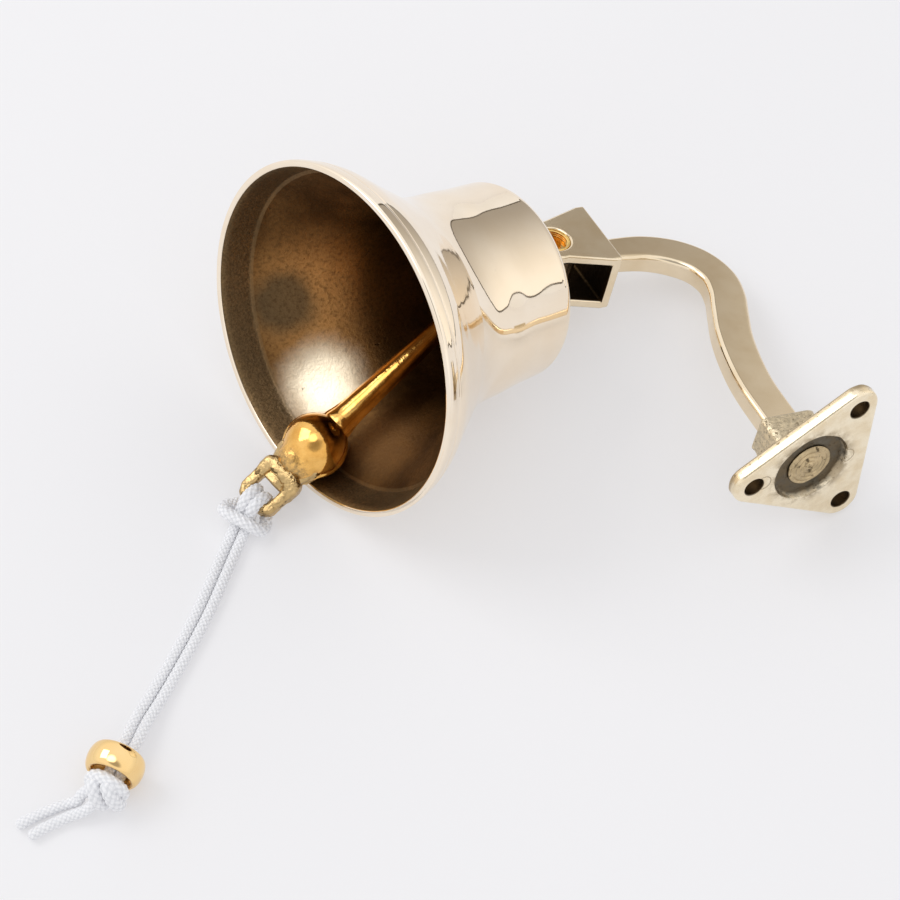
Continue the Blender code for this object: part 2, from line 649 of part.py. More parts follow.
# ---------------------------------------------------------------- rig
BODIES = {
    "bell_swing": (YOKE, "ship_bell_root", ("bell_shell", "crown_lug", "crown_washer", "crown_nut",
                                            "clapper_staple", "clapper_pin")),
    "clapper_swing": (CLAPPER, "bell_swing", ("clapper", "lanyard_hitch", "lanyard_strand_near",
                                              "lanyard_strand_far", "lanyard_bead", "lanyard_knot",
                                              "lanyard_tail_upper", "lanyard_tail_lower")),
}


def joint_empty(name, frame, parent=None):
    empty = bpy.data.objects.new(name, None)
    empty.empty_display_size = 0.01
    empty.matrix_world = frame
    PARTS.objects.link(empty)
    attach(empty, parent)
    return empty


def attach(child, parent):
    """Parent without moving the child."""
    if parent:
        child.parent = parent
        child.matrix_parent_inverse = parent.matrix_world.inverted()


def rig():
    """Each moving body hangs from an empty on its joint, and all from one root."""
    empties = {"ship_bell_root": joint_empty("ship_bell_root", Matrix.Identity(4))}
    for name, (frame, parent, _) in BODIES.items():
        empties[name] = joint_empty(name, frame)
    bpy.context.view_layer.update()
    for name, (_, parent, pieces) in BODIES.items():
        attach(empties[name], empties[parent])
        for piece in pieces:
            attach(bpy.data.objects[piece], empties[name])
    for obj in list(PARTS.objects) + list(CUTTERS.objects):
        if obj.parent is None and obj is not empties["ship_bell_root"]:
            attach(obj, empties["ship_bell_root"])
    bpy.context.view_layer.update()
    return empties["ship_bell_root"]


def recentre(root):
    """Move the root so the origin is under the middle of the box, the lanyard left out."""
    graph = bpy.context.evaluated_depsgraph_get()
    solids = [o for o in PARTS.objects if o.type == "MESH" and not o.name.startswith(LANYARD)]
    corners = []
    for obj in solids:
        done = obj.evaluated_get(graph)
        corners += [done.matrix_world @ v.co for v in done.to_mesh().vertices]
        done.to_mesh_clear()
    spots = np.array(corners)
    low, high = spots.min(0), spots.max(0)
    root.location = (-(low[0] + high[0]) / 2, -(low[1] + high[1]) / 2, -low[2])
    bpy.context.view_layer.update()


make_bell_shell()
make_crown_lug()
make_crown_fasteners()
make_staple()
make_clapper()
make_yoke()
make_hanger_pin()
make_arm()
make_wall_plate()
make_hitch()
make_strands()
make_bead()
make_knot()
make_tails()
recentre(rig())
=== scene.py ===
"""Small ship's bell on a swan-neck bracket: the finished looks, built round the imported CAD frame.

Everything is in metres in the row frame.  Sizes that the CAD source also holds are repeated
here as named values, because the frame gives only meshes, joints and the record.
"""
import math

import bmesh
import bpy
import numpy as np
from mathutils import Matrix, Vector


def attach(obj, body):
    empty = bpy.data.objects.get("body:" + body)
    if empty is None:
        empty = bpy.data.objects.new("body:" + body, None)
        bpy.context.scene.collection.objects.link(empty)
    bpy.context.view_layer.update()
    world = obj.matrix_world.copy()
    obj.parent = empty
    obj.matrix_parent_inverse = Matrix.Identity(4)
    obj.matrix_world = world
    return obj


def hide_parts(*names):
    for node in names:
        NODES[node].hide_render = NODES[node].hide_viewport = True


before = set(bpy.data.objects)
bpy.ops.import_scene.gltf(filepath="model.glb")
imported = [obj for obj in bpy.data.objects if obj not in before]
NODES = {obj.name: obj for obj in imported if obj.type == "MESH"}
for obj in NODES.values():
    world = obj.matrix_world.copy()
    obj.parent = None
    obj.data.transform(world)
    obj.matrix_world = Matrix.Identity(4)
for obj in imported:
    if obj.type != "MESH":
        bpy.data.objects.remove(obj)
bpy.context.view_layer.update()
MM = 0.001

# ---------------------------------------------------------------- local frames
def unit(v):
    """The same directions, each of length 1; the last axis holds the coordinates."""
    v = np.asarray(v, float)
    return v / np.maximum(np.linalg.norm(v, axis=-1, keepdims=True), 1e-12)


class Place:
    """A local frame: an origin and three axes, all in the row frame."""

    def __init__(self, origin, x, z):
        self.origin, self.x, self.z = np.asarray(origin, float), unit(x), unit(z)
        self.y = np.cross(self.z, self.x)

    def put(self, points):
        """Local points carried to the row frame: origin + x X + y Y + z Z."""
        points = np.asarray(points, float)
        return self.origin + points @ np.stack([self.x, self.y, self.z])

    def turned(self, angle):
        """The same frame turned about its own Z."""
        return Place(self.origin, math.cos(angle) * self.x + math.sin(angle) * self.y, self.z)

    def moved(self, x, y, z=0.0):
        """The same frame moved along its own axes."""
        return Place(self.put((x, y, z)), self.x, self.z)


MOUTH_TO_PIVOT = 0.0570
HANGER_PIN = np.array((0.031124, 0.027956, 0.020857))
PIVOT = np.array((0.00927, 0.027956, 0.028642))
CLAPPER_PIN_AXIS = np.array((0.047864, -0.989776, 0.134358))
CLAPPER_LEAN = math.radians(34.818)
PIN_AXIS = np.array((0.334148, 0.092371, 0.937983))
TO_WALL = np.array((-0.17604995, -0.97155446, 0.15839276))
AXIS = unit(HANGER_PIN - PIVOT)
BELL = Place(PIVOT - MOUTH_TO_PIVOT * AXIS, np.cross((0, -1, 0), AXIS), AXIS)
YOKE = Place(HANGER_PIN, PIN_AXIS, np.cross(PIN_AXIS, TO_WALL))
CLAPPER = Place(PIVOT, CLAPPER_PIN_AXIS,
                math.sin(CLAPPER_LEAN) * np.cross(AXIS, unit(CLAPPER_PIN_AXIS))
                - math.cos(CLAPPER_LEAN) * AXIS)
EYE_TURN = math.radians(-20.0)
EYE_AT, EYE_HALF_W, EYE_HALF_L, EYE_BAR_R = 0.0836, 0.0049, 0.0058, 0.0016
EYE = CLAPPER.turned(EYE_TURN)
EYE_BAR = EYE.moved(0, 0, EYE_AT + EYE_HALF_L)
ROOT_SHIFT = np.array((-0.044425, 0.027956, 0.0))
CORD_R = 0.00145
STRAND_SPACING = 0.0032
BEAD_R, BEAD_HOLE_R, BEAD_LEN = 0.0079, 0.0056, 0.0074
BEAD_CENTRE = np.array((-0.1081, -0.0529, BEAD_R + 0.0002)) + ROOT_SHIFT
HEADING = unit((-0.840, -0.542, 0.0))
PLATE_OFFSET = 0.0024
WALL_REACH, PLATE_T, FOOT_AT = 0.0954, 0.0041, 0.0326
PLATE_TURN = math.radians(10.0)
PLATE = Place(YOKE.put((0, WALL_REACH, FOOT_AT + PLATE_OFFSET)), -YOKE.z, YOKE.y).turned(PLATE_TURN)
RECESS = Place(YOKE.put((0, WALL_REACH, FOOT_AT)), -YOKE.z, YOKE.y)
CORNER_OUT = 0.0351 / math.sqrt(3)
CORNERS = np.radians((0, 120, 240))
SCREW_HOLES = [PLATE.moved(CORNER_OUT * math.cos(a), CORNER_OUT * math.sin(a)) for a in CORNERS]


# ---------------------------------------------------------------- camera
def make_camera():
    """Camera looking down at the bell from the left front."""
    data = bpy.data.cameras.new("viewpoint")
    data.sensor_fit = "HORIZONTAL"
    data.angle = 0.30543261
    data.clip_start, data.clip_end = 0.05, 20.0
    data.dof.use_dof = False
    camera = bpy.data.objects.new("viewpoint", data)
    bpy.context.scene.collection.objects.link(camera)
    forward = Vector((0.32069157, 0.42748908, -0.84522778))
    camera.rotation_mode = "QUATERNION"
    camera.rotation_quaternion = forward.to_track_quat("-Z", "Y")
    camera.location = (-0.286162, -0.349142, 0.699437)
    bpy.context.scene.camera = camera


make_camera()


# ---------------------------------------------------------------- surfaces from arrays
def grid_faces(rows, columns, close_rows, start):
    """Corner numbers of the quads between neighbouring points of a grid whose rows are loops."""
    n = start + np.arange(rows * columns).reshape(rows, columns)
    quads = np.stack([n, np.roll(n, -1, 1), np.roll(np.roll(n, -1, 0), -1, 1), np.roll(n, -1, 0)], -1)
    return (quads if close_rows else quads[:-1]).reshape(-1, 4)


def piece_from_grids(name, grids, closed=False, attributes=None):
    """One mesh from several (rows, columns, 3) grids of points; coincident points are welded
    and open ends filled.  Where closed, the last row joins the first."""
    points, faces, start = [], [], 0
    for grid in grids:
        rows, columns = grid.shape[:2]
        points.append(grid.reshape(-1, 3))
        faces.append(grid_faces(rows, columns, closed, start))
        start += rows * columns
    points, faces = np.concatenate(points), np.concatenate(faces)
    mesh = bpy.data.meshes.new(name)
    mesh.vertices.add(len(points))
    mesh.vertices.foreach_set("co", points.astype(np.float32).ravel())
    mesh.loops.add(len(faces) * 4)
    mesh.loops.foreach_set("vertex_index", faces.astype(np.int32).ravel())
    mesh.polygons.add(len(faces))
    mesh.polygons.foreach_set("loop_start", np.arange(0, len(faces) * 4, 4, dtype=np.int32))
    mesh.update(calc_edges=True)
    for key, values in (attributes or {}).items():
        mesh.attributes.new(key, "FLOAT", "POINT").data.foreach_set("value", values.astype(np.float32).ravel())
    bm = bmesh.new()
    bm.from_mesh(mesh)
    bmesh.ops.remove_doubles(bm, verts=bm.verts, dist=1e-6)
    holes = [edge for edge in bm.edges if edge.is_boundary]
    if holes:
        bmesh.ops.holes_fill(bm, edges=holes, sides=0)
    bmesh.ops.recalc_face_normals(bm, faces=bm.faces)
    bm.to_mesh(mesh)
    bm.free()
    mesh.shade_smooth()
    obj = bpy.data.objects.new(name, mesh)
    bpy.context.scene.collection.objects.link(obj)
    return obj


def finish_piece(obj, body, slot, recipe, *nodes):
    """Material, body and the CAD nodes that the piece stands for; the slot argument is not used."""
    obj.data.materials.clear()
    obj.data.materials.append(recipe)
    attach(obj, body)
    if nodes:
        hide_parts(*nodes)
    return obj


def ease(low, high, x):
    """0 below low, 1 above high, and a smooth S between."""
    t = np.clip((x - low) / (high - low), 0, 1)
    return t * t * (3 - 2 * t)


def through(points, per_span):
    """Catmull-Rom curve through the points: for each span, the cubic that leaves each
    point in the direction from the one before it to the one after it."""
    p = np.asarray(points, float)
    p = np.concatenate([[2 * p[0] - p[1]], p, [2 * p[-1] - p[-2]]])
    t = (np.arange(per_span) / per_span)[None, :, None]
    a, b, c, d = (p[i:len(p) - 3 + i, None, :] for i in range(4))
    out = (2 * b + (c - a) * t + (2 * a - 5 * b + 4 * c - d) * t ** 2 + (3 * b - a - 3 * c + d) * t ** 3) / 2
    return np.concatenate([out.reshape(-1, p.shape[1]), p[-2:-1]])


def distance_along(line):
    """Arc length from the line's start to each of its points."""
    return np.concatenate([[0], np.cumsum(np.linalg.norm(np.diff(line, axis=0), axis=1))])


def spaced(line, step):
    """The same line with points a given arc length apart."""
    along = distance_along(line)
    at = np.linspace(0, along[-1], max(2, int(round(along[-1] / step)) + 1))
    return np.stack([np.interp(at, along, line[:, i]) for i in range(line.shape[1])], -1), at


def axes_along(line, first):
    """Unit tangents, and two unit normals carried along without twist."""
    ahead = unit(np.gradient(line, axis=0))
    side = np.empty_like(ahead)
    current = np.asarray(first, float)
    for i, t in enumerate(ahead):
        current = unit(current - t * (current @ t))
        side[i] = current
    return ahead, side, np.cross(ahead, side)


def lumps(points, cell, seed):
    """Value noise in -1..1: random numbers on a lattice of the given cell, blended smoothly
    between the eight corners round each point."""
    size = 24
    table = np.random.default_rng(seed).uniform(-1, 1, (size, size, size))
    q = np.asarray(points, float) / cell
    base = np.floor(q).astype(int)
    f = q - base
    f = f * f * (3 - 2 * f)
    total = np.zeros(q.shape[:-1])
    for i in (0, 1):
        for j in (0, 1):
            for k in (0, 1):
                weight = (np.where(i, f[..., 0], 1 - f[..., 0]) * np.where(j, f[..., 1], 1 - f[..., 1])
                          * np.where(k, f[..., 2], 1 - f[..., 2]))
                total += weight * table[(base[..., 0] + i) % size, (base[..., 1] + j) % size,
                                        (base[..., 2] + k) % size]
    return total


def turned_grid(radius, height, around):
    """Rows turned about local Z: (r cos t, r sin t, h), with one radius and one height for
    each row, or one for each of its points."""
    t = np.linspace(0, 2 * math.pi, around, endpoint=False)
    r, h = (v if v.ndim > 1 else v[:, None] for v in (radius, height))
    return np.stack([r * np.cos(t), r * np.sin(t), h + 0 * t], -1)


def rounded_section(half_a, half_b, radius, count):
    """Unit-free outline of a rounded rectangle, as many points on each corner arc and flat:
    the centre of the nearest corner plus the corner radius in the direction of the angle."""
    per = count // 4
    angles = np.concatenate([np.linspace(0, math.pi / 2, per) + q * math.pi / 2 for q in range(4)])
    sign_a = np.repeat([1, -1, -1, 1], per)
    sign_b = np.repeat([1, 1, -1, -1], per)
    return np.stack([sign_a * (half_a - radius) + radius * np.cos(angles),
                     sign_b * (half_b - radius) + radius * np.sin(angles)], -1)


# ---------------------------------------------------------------- material recipes
class Value:
    """One output socket; arithmetic on it adds Math nodes."""

    def __init__(self, recipe, socket):
        self.recipe, self.socket = recipe, socket

    def math(self, operation, a, b=0.0):
        return self.recipe.add("ShaderNodeMath", {"operation": operation}, {0: a, 1: b})

    def __add__(self, other):
        return self.math("ADD", self, other)

    def __sub__(self, other):
        return self.math("SUBTRACT", self, other)

    def __rsub__(self, other):
        return self.math("SUBTRACT", other, self)

    def __mul__(self, other):
        return self.math("MULTIPLY", self, other)

    def __pow__(self, other):
        return self.math("POWER", self, other)

    def __abs__(self):
        return self.math("ABSOLUTE", self)

    __radd__, __rmul__ = __add__, __mul__

    def ramp(self, low, high):
        """0 at low, 1 at high, a smooth S between, whichever is larger."""
        return self.recipe.add("ShaderNodeMapRange", {"interpolation_type": "SMOOTHSTEP"},
                               {"Value": self, "From Min": low, "From Max": high})


class Nodes:
    """One node tree, where every node comes from add()."""

    def __init__(self, tree):
        self.tree = tree

    def add(self, kind, settings, inputs, output=0):
        """A node of one type, its settings first, then its sockets' values or links."""
        node = self.tree.nodes.new(kind)
        for key, value in settings.items():
            setattr(node, key, value)
        for key, value in inputs.items():
            self.feed(node.inputs[key], value)
        return Value(self, node.outputs[output])

    def feed(self, socket, value):
        if isinstance(value, Value):
            self.tree.links.new(value.socket, socket)
        elif socket.type == "RGBA":
            socket.default_value = (*value[:3], 1.0)
        else:
            socket.default_value = value


class Recipe(Nodes):
    """A node material on Object coordinates."""

    def __init__(self, name):
        self.material = bpy.data.materials.new(name)
        self.material.use_nodes = True
        super().__init__(self.material.node_tree)
        self.shader = self.tree.nodes["Principled BSDF"]
        self.place = self.add("ShaderNodeTexCoord", {}, {}, "Object")

    def noise(self, size, detail=3.0, roughness=0.55, stretch=None):
        """Noise 0..1 whose blobs are about the given size in metres."""
        at = self.place
        if stretch:
            at = self.add("ShaderNodeMapping", {}, {"Vector": at, "Scale": stretch})
        return self.add("ShaderNodeTexNoise", {}, {"Vector": at, "Scale": 1 / size, "Detail": detail,
                                                   "Roughness": roughness})

    def mix(self, share, a, b):
        """Colour a where share is 0 and b where it is 1."""
        return self.add("ShaderNodeMix", {"data_type": "RGBA"}, {0: share, 6: a, 7: b}, 2)

    def along(self, place, axis):
        """Distance of the surface point from a frame's origin along one of its axes."""
        offset = self.add("ShaderNodeVectorMath", {"operation": "SUBTRACT"},
                          {0: self.place, 1: tuple(place.origin)})
        return self.add("ShaderNodeVectorMath", {"operation": "DOT_PRODUCT"},
                        {0: offset, 1: tuple(getattr(place, axis))}, 1)

    def off_axis(self, place):
        """Distance of the surface point from a frame's Z axis."""
        x, y = self.along(place, "x"), self.along(place, "y")
        return (x * x + y * y) ** 0.5

    def bump(self, height, strength=1.0):
        """Normal tilted by a height in metres."""
        return self.add("ShaderNodeBump", {}, {"Height": height, "Distance": 1.0, "Strength": strength})

    def set(self, **sockets):
        for key, value in sockets.items():
            self.feed(self.shader.inputs[key.replace("_", " ")], value)
        return self.material


def polished(name, light, deep, rough=0.06, grain=0.03, wave=0.00002):
    """Buffed brass: two close alloys of colour, fine buffing lines and a faint orange peel."""
    r = Recipe(name)
    cloud = r.noise(0.016, 3.0)
    lines = r.noise(0.0009, 4.0, 0.7, stretch=(1.0, 6.0, 1.6))
    smudge = r.noise(0.006, 4.0, 0.6)
    colour = r.mix(cloud.ramp(0.3, 0.72), light, deep)
    specks = r.noise(0.0011, 2.0).ramp(0.71, 0.8)
    colour = r.mix(specks * 0.25, colour, tuple(0.55 * c for c in deep))
    peel = r.noise(0.007, 2.0) * wave
    fine = lines * (wave * 0.02)
    return r.set(Base_Color=colour, Metallic=1.0,
                 Roughness=rough + (smudge.ramp(0.35, 0.75) * grain) + (lines * 0.015),
                 Normal=r.bump(peel + fine))


def inside_cast():
    """Raw casting inside the bell: sand grain, brown heat stain, patches of painted glow and a painted
    dark reflection, a painted highlight where the ball strikes, and the lighter gritty turned band."""
    r = Recipe("raw_bell_inside")
    height = r.along(BELL, "z")
    band = 1 - height.ramp(0.0083, 0.0092)
    stain = r.noise(0.013, 4.0, 0.6)
    grain = r.noise(0.0011, 4.0, 0.65)
    fine = r.noise(0.0005, 3.0, 0.6)

    def spot(x, y, z, size, soft):
        """1 at a point in the bell's frame, 0 beyond a distance, ragged by the stain noise."""
        gap = r.add("ShaderNodeVectorMath", {"operation": "DISTANCE"},
                    {0: r.place, 1: tuple(BELL.put((x, y, z)))}, 1)
        return 1 - (gap + (stain - 0.5) * 0.008).ramp(size * (1 - soft), size)

    base = r.mix(stain.ramp(0.32, 0.7), (0.075, 0.036, 0.012), (0.175, 0.088, 0.029))
    # painted glow: an orange patch of reflected light laid into the base colour
    painted_glow = spot(-.019, -.030, .026, .030, .85)
    base = r.mix(painted_glow * 0.8, base, (0.58, 0.290, 0.095))
    # painted dark reflection: a dark olive patch laid into the base colour
    painted_dark_patch = spot(-.0225, -.0335, .0150, .013, .6)
    base = r.mix(painted_dark_patch * 0.8, base, (0.072, 0.056, 0.032))
    base = r.mix(grain.ramp(0.42, 0.72) * 0.5, base, (0.060, 0.030, 0.011))
    # painted glow: a lighter patch of reflected light low on the wall
    low = spot(-.034, .016, .017, .017, .8)
    base = r.mix(low * 0.35, base, (0.42, 0.24, 0.10))
    # painted highlight: a near-white gold spot where the overhead light reflects, laid into the base colour;
    # the roughness is a little lower there too
    rubbed = spot(-.0370, -.0125, .0190, .0165, .85)
    base = r.mix(rubbed, base, (1.0, 0.87, 0.65))
    pits = r.noise(0.0026, 3.0).ramp(0.69, 0.76)
    base = r.mix(pits * 0.7, base, (0.05, 0.028, 0.012))
    base = r.mix(band * 0.6, base, (0.24, 0.165, 0.085))
    grit = r.noise(0.0007, 3.0, 0.7).ramp(0.42, 0.62) * band
    base = r.mix(grit * 0.75, base, (0.11, 0.072, 0.035))
    rough = 0.34 + grain * 0.22 + stain * 0.08 - rubbed * 0.06
    relief = grain * 0.00018 + fine * 0.00005 - pits * 0.0001
    return r.set(Base_Color=base, Metallic=1.0, Roughness=rough, Normal=r.bump(relief, 0.85))


def yoke_finish():
    """Buffed outside; the slot between the cheeks and the blind hole are raw and rougher, and coloured near
    black as painted shade.
    """
    r = Recipe("hanger_yoke_finish")
    cloud = r.noise(0.010, 3.0)
    lines = r.noise(0.0009, 4.0, 0.7, stretch=(1.0, 6.0, 1.6))
    across, out = abs(r.along(YOKE, "x")), r.along(YOKE, "z")
    slot = (1 - across.ramp(0.00655, 0.00670)) * (1 - out.ramp(0.01378, 0.01386))
    wall = r.along(YOKE, "y")
    hole = 1 - (((wall * wall + out * out) ** 0.5).ramp(0.00486, 0.00492))
    raw = slot.math("MAXIMUM", slot, hole * (1 - across.ramp(0.0088, 0.0091)))
    colour = r.mix(cloud.ramp(0.3, 0.72), (0.90, 0.77, 0.57), (0.82, 0.67, 0.46))
    specks = r.noise(0.0011, 2.0).ramp(0.7, 0.8)
    colour = r.mix(specks * 0.3, colour, (0.42, 0.33, 0.20))
    # painted shade: the slot between the cheeks and the hole are painted near black
    colour = r.mix(raw, colour, (0.045, 0.026, 0.010))
    rough = 0.12 + lines * 0.06 + cloud.ramp(0.4, 0.8) * 0.04 + raw * 0.3
    return r.set(Base_Color=colour, Metallic=1.0, Roughness=rough,
                 Normal=r.bump(cloud * 0.00003 + lines * 0.000002 + raw * r.noise(0.0012) * 0.0002))


def golden():
    """Bright golden brass, tumbled after casting: soft dimples, darker in the hollows."""
    r = Recipe("golden_casting")
    dimple = r.noise(0.0042, 3.0)
    fine = r.noise(0.0012, 3.0)
    colour = r.mix(dimple.ramp(0.3, 0.7), (0.90, 0.52, 0.150), (0.74, 0.38, 0.085))
    colour = r.mix(fine.ramp(0.62, 0.78) * 0.5, colour, (0.42, 0.24, 0.08))
    skin = (r.along(CLAPPER, "z") + (dimple - 0.5) * 0.012).ramp(0.0705, 0.0765)
    colour = r.mix(skin * fine.ramp(0.38, 0.6), colour, (0.22, 0.13, 0.05))
    colour = r.mix(skin * 0.5, colour, (0.62, 0.43, 0.19))
    return r.set(Base_Color=colour, Metallic=1.0, Roughness=0.07 + fine * 0.08 + skin * 0.22,
                 Normal=r.bump(dimple * 0.00010 + fine * 0.00002 + skin * fine * 0.0003))


def rough_casting(name, light, dark, grain=1.0):
    """As-cast brass: sand grain, dark pits and rubbed high spots."""
    r = Recipe(name)
    coarse = r.noise(0.0022 * grain, 4.0, 0.65)
    fine = r.noise(0.0007 * grain, 3.0, 0.6)
    pits = r.noise(0.0016 * grain, 2.0).ramp(0.58, 0.7)
    colour = r.mix(coarse.ramp(0.35, 0.65), light, tuple(0.72 * c for c in light))
    colour = r.mix(pits * 0.8, colour, dark)
    return r.set(Base_Color=colour, Metallic=1.0, Roughness=0.22 + fine * 0.22 + pits * 0.2,
                 Normal=r.bump(coarse * 0.0003 + fine * 0.0001 - pits * 0.0002))


def plate_finish():
    """Wall plate: linished back with stains round the recess, painted shade and rougher metal in it, and
    painted shade in the screw holes.
    """
    r = Recipe("wall_plate_finish")
    away, depth = r.off_axis(RECESS), r.along(RECESS, "z")
    stain = r.noise(0.005, 5.0, 0.62)
    fine = r.noise(0.0008, 3.0, 0.6)
    colour = r.mix(stain.ramp(0.35, 0.7), (0.94, 0.83, 0.63), (0.84, 0.70, 0.48))
    near = (1 - away.ramp(0.0100, 0.0150)) * stain.ramp(0.40, 0.60)
    colour = r.mix(near * 0.75, colour, (0.17, 0.12, 0.065))
    inside = 1 - (away + (stain - 0.5) * 0.0035).ramp(0.0104, 0.0116)
    # painted shade: the recess is painted near black, patchy with the stain noise
    recess_shade = r.mix(stain.ramp(0.40, 0.62), (0.030, 0.022, 0.013), (0.14, 0.105, 0.062))
    colour = r.mix(inside * (0.80 + 0.2 * stain), colour, recess_shade)
    rings = [RECESS.moved(at * math.cos(PLATE_TURN), at * math.sin(PLATE_TURN)) for at in (-0.0113, 0.0151)]
    marks = sum(1 - abs(r.off_axis(ring) - 0.0023).ramp(0.00008, 0.00024) for ring in rings)
    marks = marks * depth.ramp(-0.0006, -0.0001)
    colour = r.mix(marks * 0.75, colour, (0.40, 0.30, 0.18))
    front = 1 - (depth + (stain - 0.5) * 0.001).ramp(-0.0030, -0.0018)
    colour = r.mix(front * 0.8, colour, (0.40, 0.31, 0.19))
    pits = r.noise(0.0012, 2.0).ramp(0.6, 0.72)
    colour = r.mix(pits * (front * 0.6 + inside * 0.5 + near * 0.35), colour, (0.14, 0.10, 0.06))
    # painted shade: the screw holes are painted near black, a little less at their mouths
    hole = sum(1 - (r.off_axis(place) + (stain - 0.5) * 0.0006).ramp(0.00300, 0.00325)
               for place in SCREW_HOLES)
    hole = hole * (1 - depth.ramp(-0.0003, 0.00005) * 0.4)
    colour = r.mix(hole, colour, (0.060, 0.036, 0.016))
    rough = 0.14 + stain * 0.14 + inside * 0.25 + front * 0.12 + hole * 0.3
    relief = (fine * 0.00003 + stain * 0.00008 - marks * 0.00007
              - pits * (inside + near * 0.5 + front * 0.5) * 0.00015)
    return r.set(Base_Color=colour, Metallic=1.0, Roughness=rough, Normal=r.bump(relief))


def braided_cord():
    """White polyester braid: bright lays, painted shade greying the gaps between them, fine filaments along
    each lay.
    """
    r = Recipe("white_braided_cord")
    gap = r.add("ShaderNodeAttribute", {"attribute_name": "gap", "attribute_type": "GEOMETRY"}, {}, 2)
    fleck = r.noise(0.0007, 3.0)
    fibre = r.noise(0.00022, 2.0)
    colour = r.mix(fleck.ramp(0.3, 0.75), (0.95, 0.95, 0.965), (0.86, 0.865, 0.885))
    # painted shade: the gaps between the lays are painted grey
    colour = r.mix(gap.ramp(0.12, 0.62) * 0.55, colour, (0.66, 0.67, 0.70))
    colour = r.mix(fibre.ramp(0.62, 0.72) * 0.5, colour, (0.97, 0.97, 0.98))
    return r.set(Base_Color=colour, Roughness=0.42 + fleck * 0.3, Sheen_Weight=0.25, Sheen_Roughness=0.4,
                 Normal=r.bump(fibre * 0.00008 + fleck * 0.00004))


BELL_OUTSIDE = polished("mirror_bell_outside", (0.97, 0.855, 0.700), (0.94, 0.805, 0.630),
                        0.035, 0.02, 0.000012)
ARM_FINISH = polished("buffed_arm", (0.89, 0.755, 0.555), (0.80, 0.65, 0.44), 0.06, 0.05, 0.00003)
YOKE_FINISH = yoke_finish()
# painted shade: the crown lug, down in the yoke's slot, is given a near-black colour
LUG_FINISH = rough_casting("painted_shade_crown_lug", (0.10, 0.060, 0.025), (0.03, 0.018, 0.008))
BELL_INSIDE = inside_cast()
GOLDEN = golden()
EYE_CAST = rough_casting("cast_clapper_eye", (0.66, 0.46, 0.21), (0.07, 0.040, 0.015), 1.4)
FOOT_CAST = rough_casting("cast_arm_foot", (0.78, 0.66, 0.46), (0.30, 0.24, 0.15), 0.55)
RIVET_CAST = rough_casting("peened_rivet", (0.62, 0.48, 0.28), (0.06, 0.040, 0.020), 1.5)
PLATE_FINISH = plate_finish()
STEEL = rough_casting("dull_fastener", (0.60, 0.50, 0.34), (0.20, 0.16, 0.10), 0.8)
THREAD = polished("cut_thread", (0.90, 0.62, 0.22), (0.70, 0.44, 0.14), 0.16, 0.10, 0.00004)
CORD = braided_cord()
BEAD_FINISH = polished("gold_bead", (0.97, 0.72, 0.36), (0.93, 0.63, 0.27), 0.05, 0.02, 0.00001)


# ---------------------------------------------------------------- cords
LAYS = 6
LAY = 2 * math.pi * CORD_R / LAYS


def braid(line, radius=CORD_R):
    """A round braid: a circle carried along the line.  Six lays wind each way at 45 degrees;
    with u = 6 t / 2 pi + s / lay and v = 6 t / 2 pi - s / lay, the radius is the middle one plus
    the higher of two rows of half-round lays, |sin pi u| and |sin pi v|, that pass over and
    under each other in turn, and both ends are rounded off.  Returns the grid, how deep in a
    gap each point lies, and the line with even steps."""
    line, s = spaced(line, 0.00014)
    _, side, up = axes_along(line, (0, 0, 1))
    t = np.linspace(0, 2 * math.pi, 64, endpoint=False)[None, :]
    turn = LAYS * t / (2 * math.pi)
    lay = LAY * radius / CORD_R
    u, v = turn + s[:, None] / lay, turn - s[:, None] / lay
    over = 0.5 + 0.5 * np.cos(math.pi * (u + np.floor(v)) + math.pi / 2)
    under = 0.5 + 0.5 * np.cos(math.pi * (v + np.floor(u)) + 1.5 * math.pi)
    first_way = np.abs(np.sin(math.pi * v)) ** 0.8 * (0.30 + 0.70 * over)
    other_way = np.abs(np.sin(math.pi * u)) ** 0.8 * (0.30 + 0.70 * under)
    height = np.maximum(first_way, other_way)
    size = radius * (0.86 + 0.24 * height)
    end = np.minimum(s, s[-1] - s)[:, None]
    size = size * np.sqrt(np.clip(1 - (1 - np.clip(end / (0.8 * radius), 0, 1)) ** 2, 0.0004, 1))
    grid = (line[:, None, :] + (size * np.cos(t))[..., None] * side[:, None, :]
            + (size * np.sin(t))[..., None] * up[:, None, :])
    return grid, 1 - height, line


def cord_piece(name, lines, radii=(CORD_R,)):
    """One piece from the braids along several lines."""
    grids, gaps, _ = zip(*(braid(line, radius) for line, radius in zip(lines, radii)))
    return piece_from_grids(name, grids, attributes={"gap": np.concatenate([gap.ravel() for gap in gaps])})


STRAND_ROUTE = ((-.0375, -.0092, .0034), (-.0405, -.0110, .0022), (-.0455, -.0142, .0017),
                (-.0530, -.0194, .0017), (-.0620, -.0255, .0017), (-.0710, -.0309, .0017),
                (-.0800, -.0359, .0017), (-.0880, -.0403, .0022), (-.0940, -.0437, .0034),
                (-.1000, -.0477, .0044), (-.1081, -.0529, .0046), (-.1109, -.0547, .0046))
TAIL_ROUTES = {
    "upper": ((-.1208, -.0532, .0030), (-.1240, -.0517, .0020), (-.1278, -.0506, .0017),
              (-.1325, -.0498, .0017), (-.1374, -.0493, .0017)),
    "lower": ((-.1216, -.0567, .0030), (-.1245, -.0554, .0020), (-.1280, -.0546, .0017),
              (-.1325, -.0540, .0017), (-.1365, -.0538, .0017)),
}


def strand_line(hand):
    """The middle route moved sideways by half the spacing."""
    middle = through(np.array(STRAND_ROUTE) + ROOT_SHIFT, 24)
    ahead = np.gradient(middle, axis=0)
    side = unit(np.stack([-ahead[:, 1], ahead[:, 0], 0 * ahead[:, 0]], -1))
    return middle + hand * side * STRAND_SPACING / 2


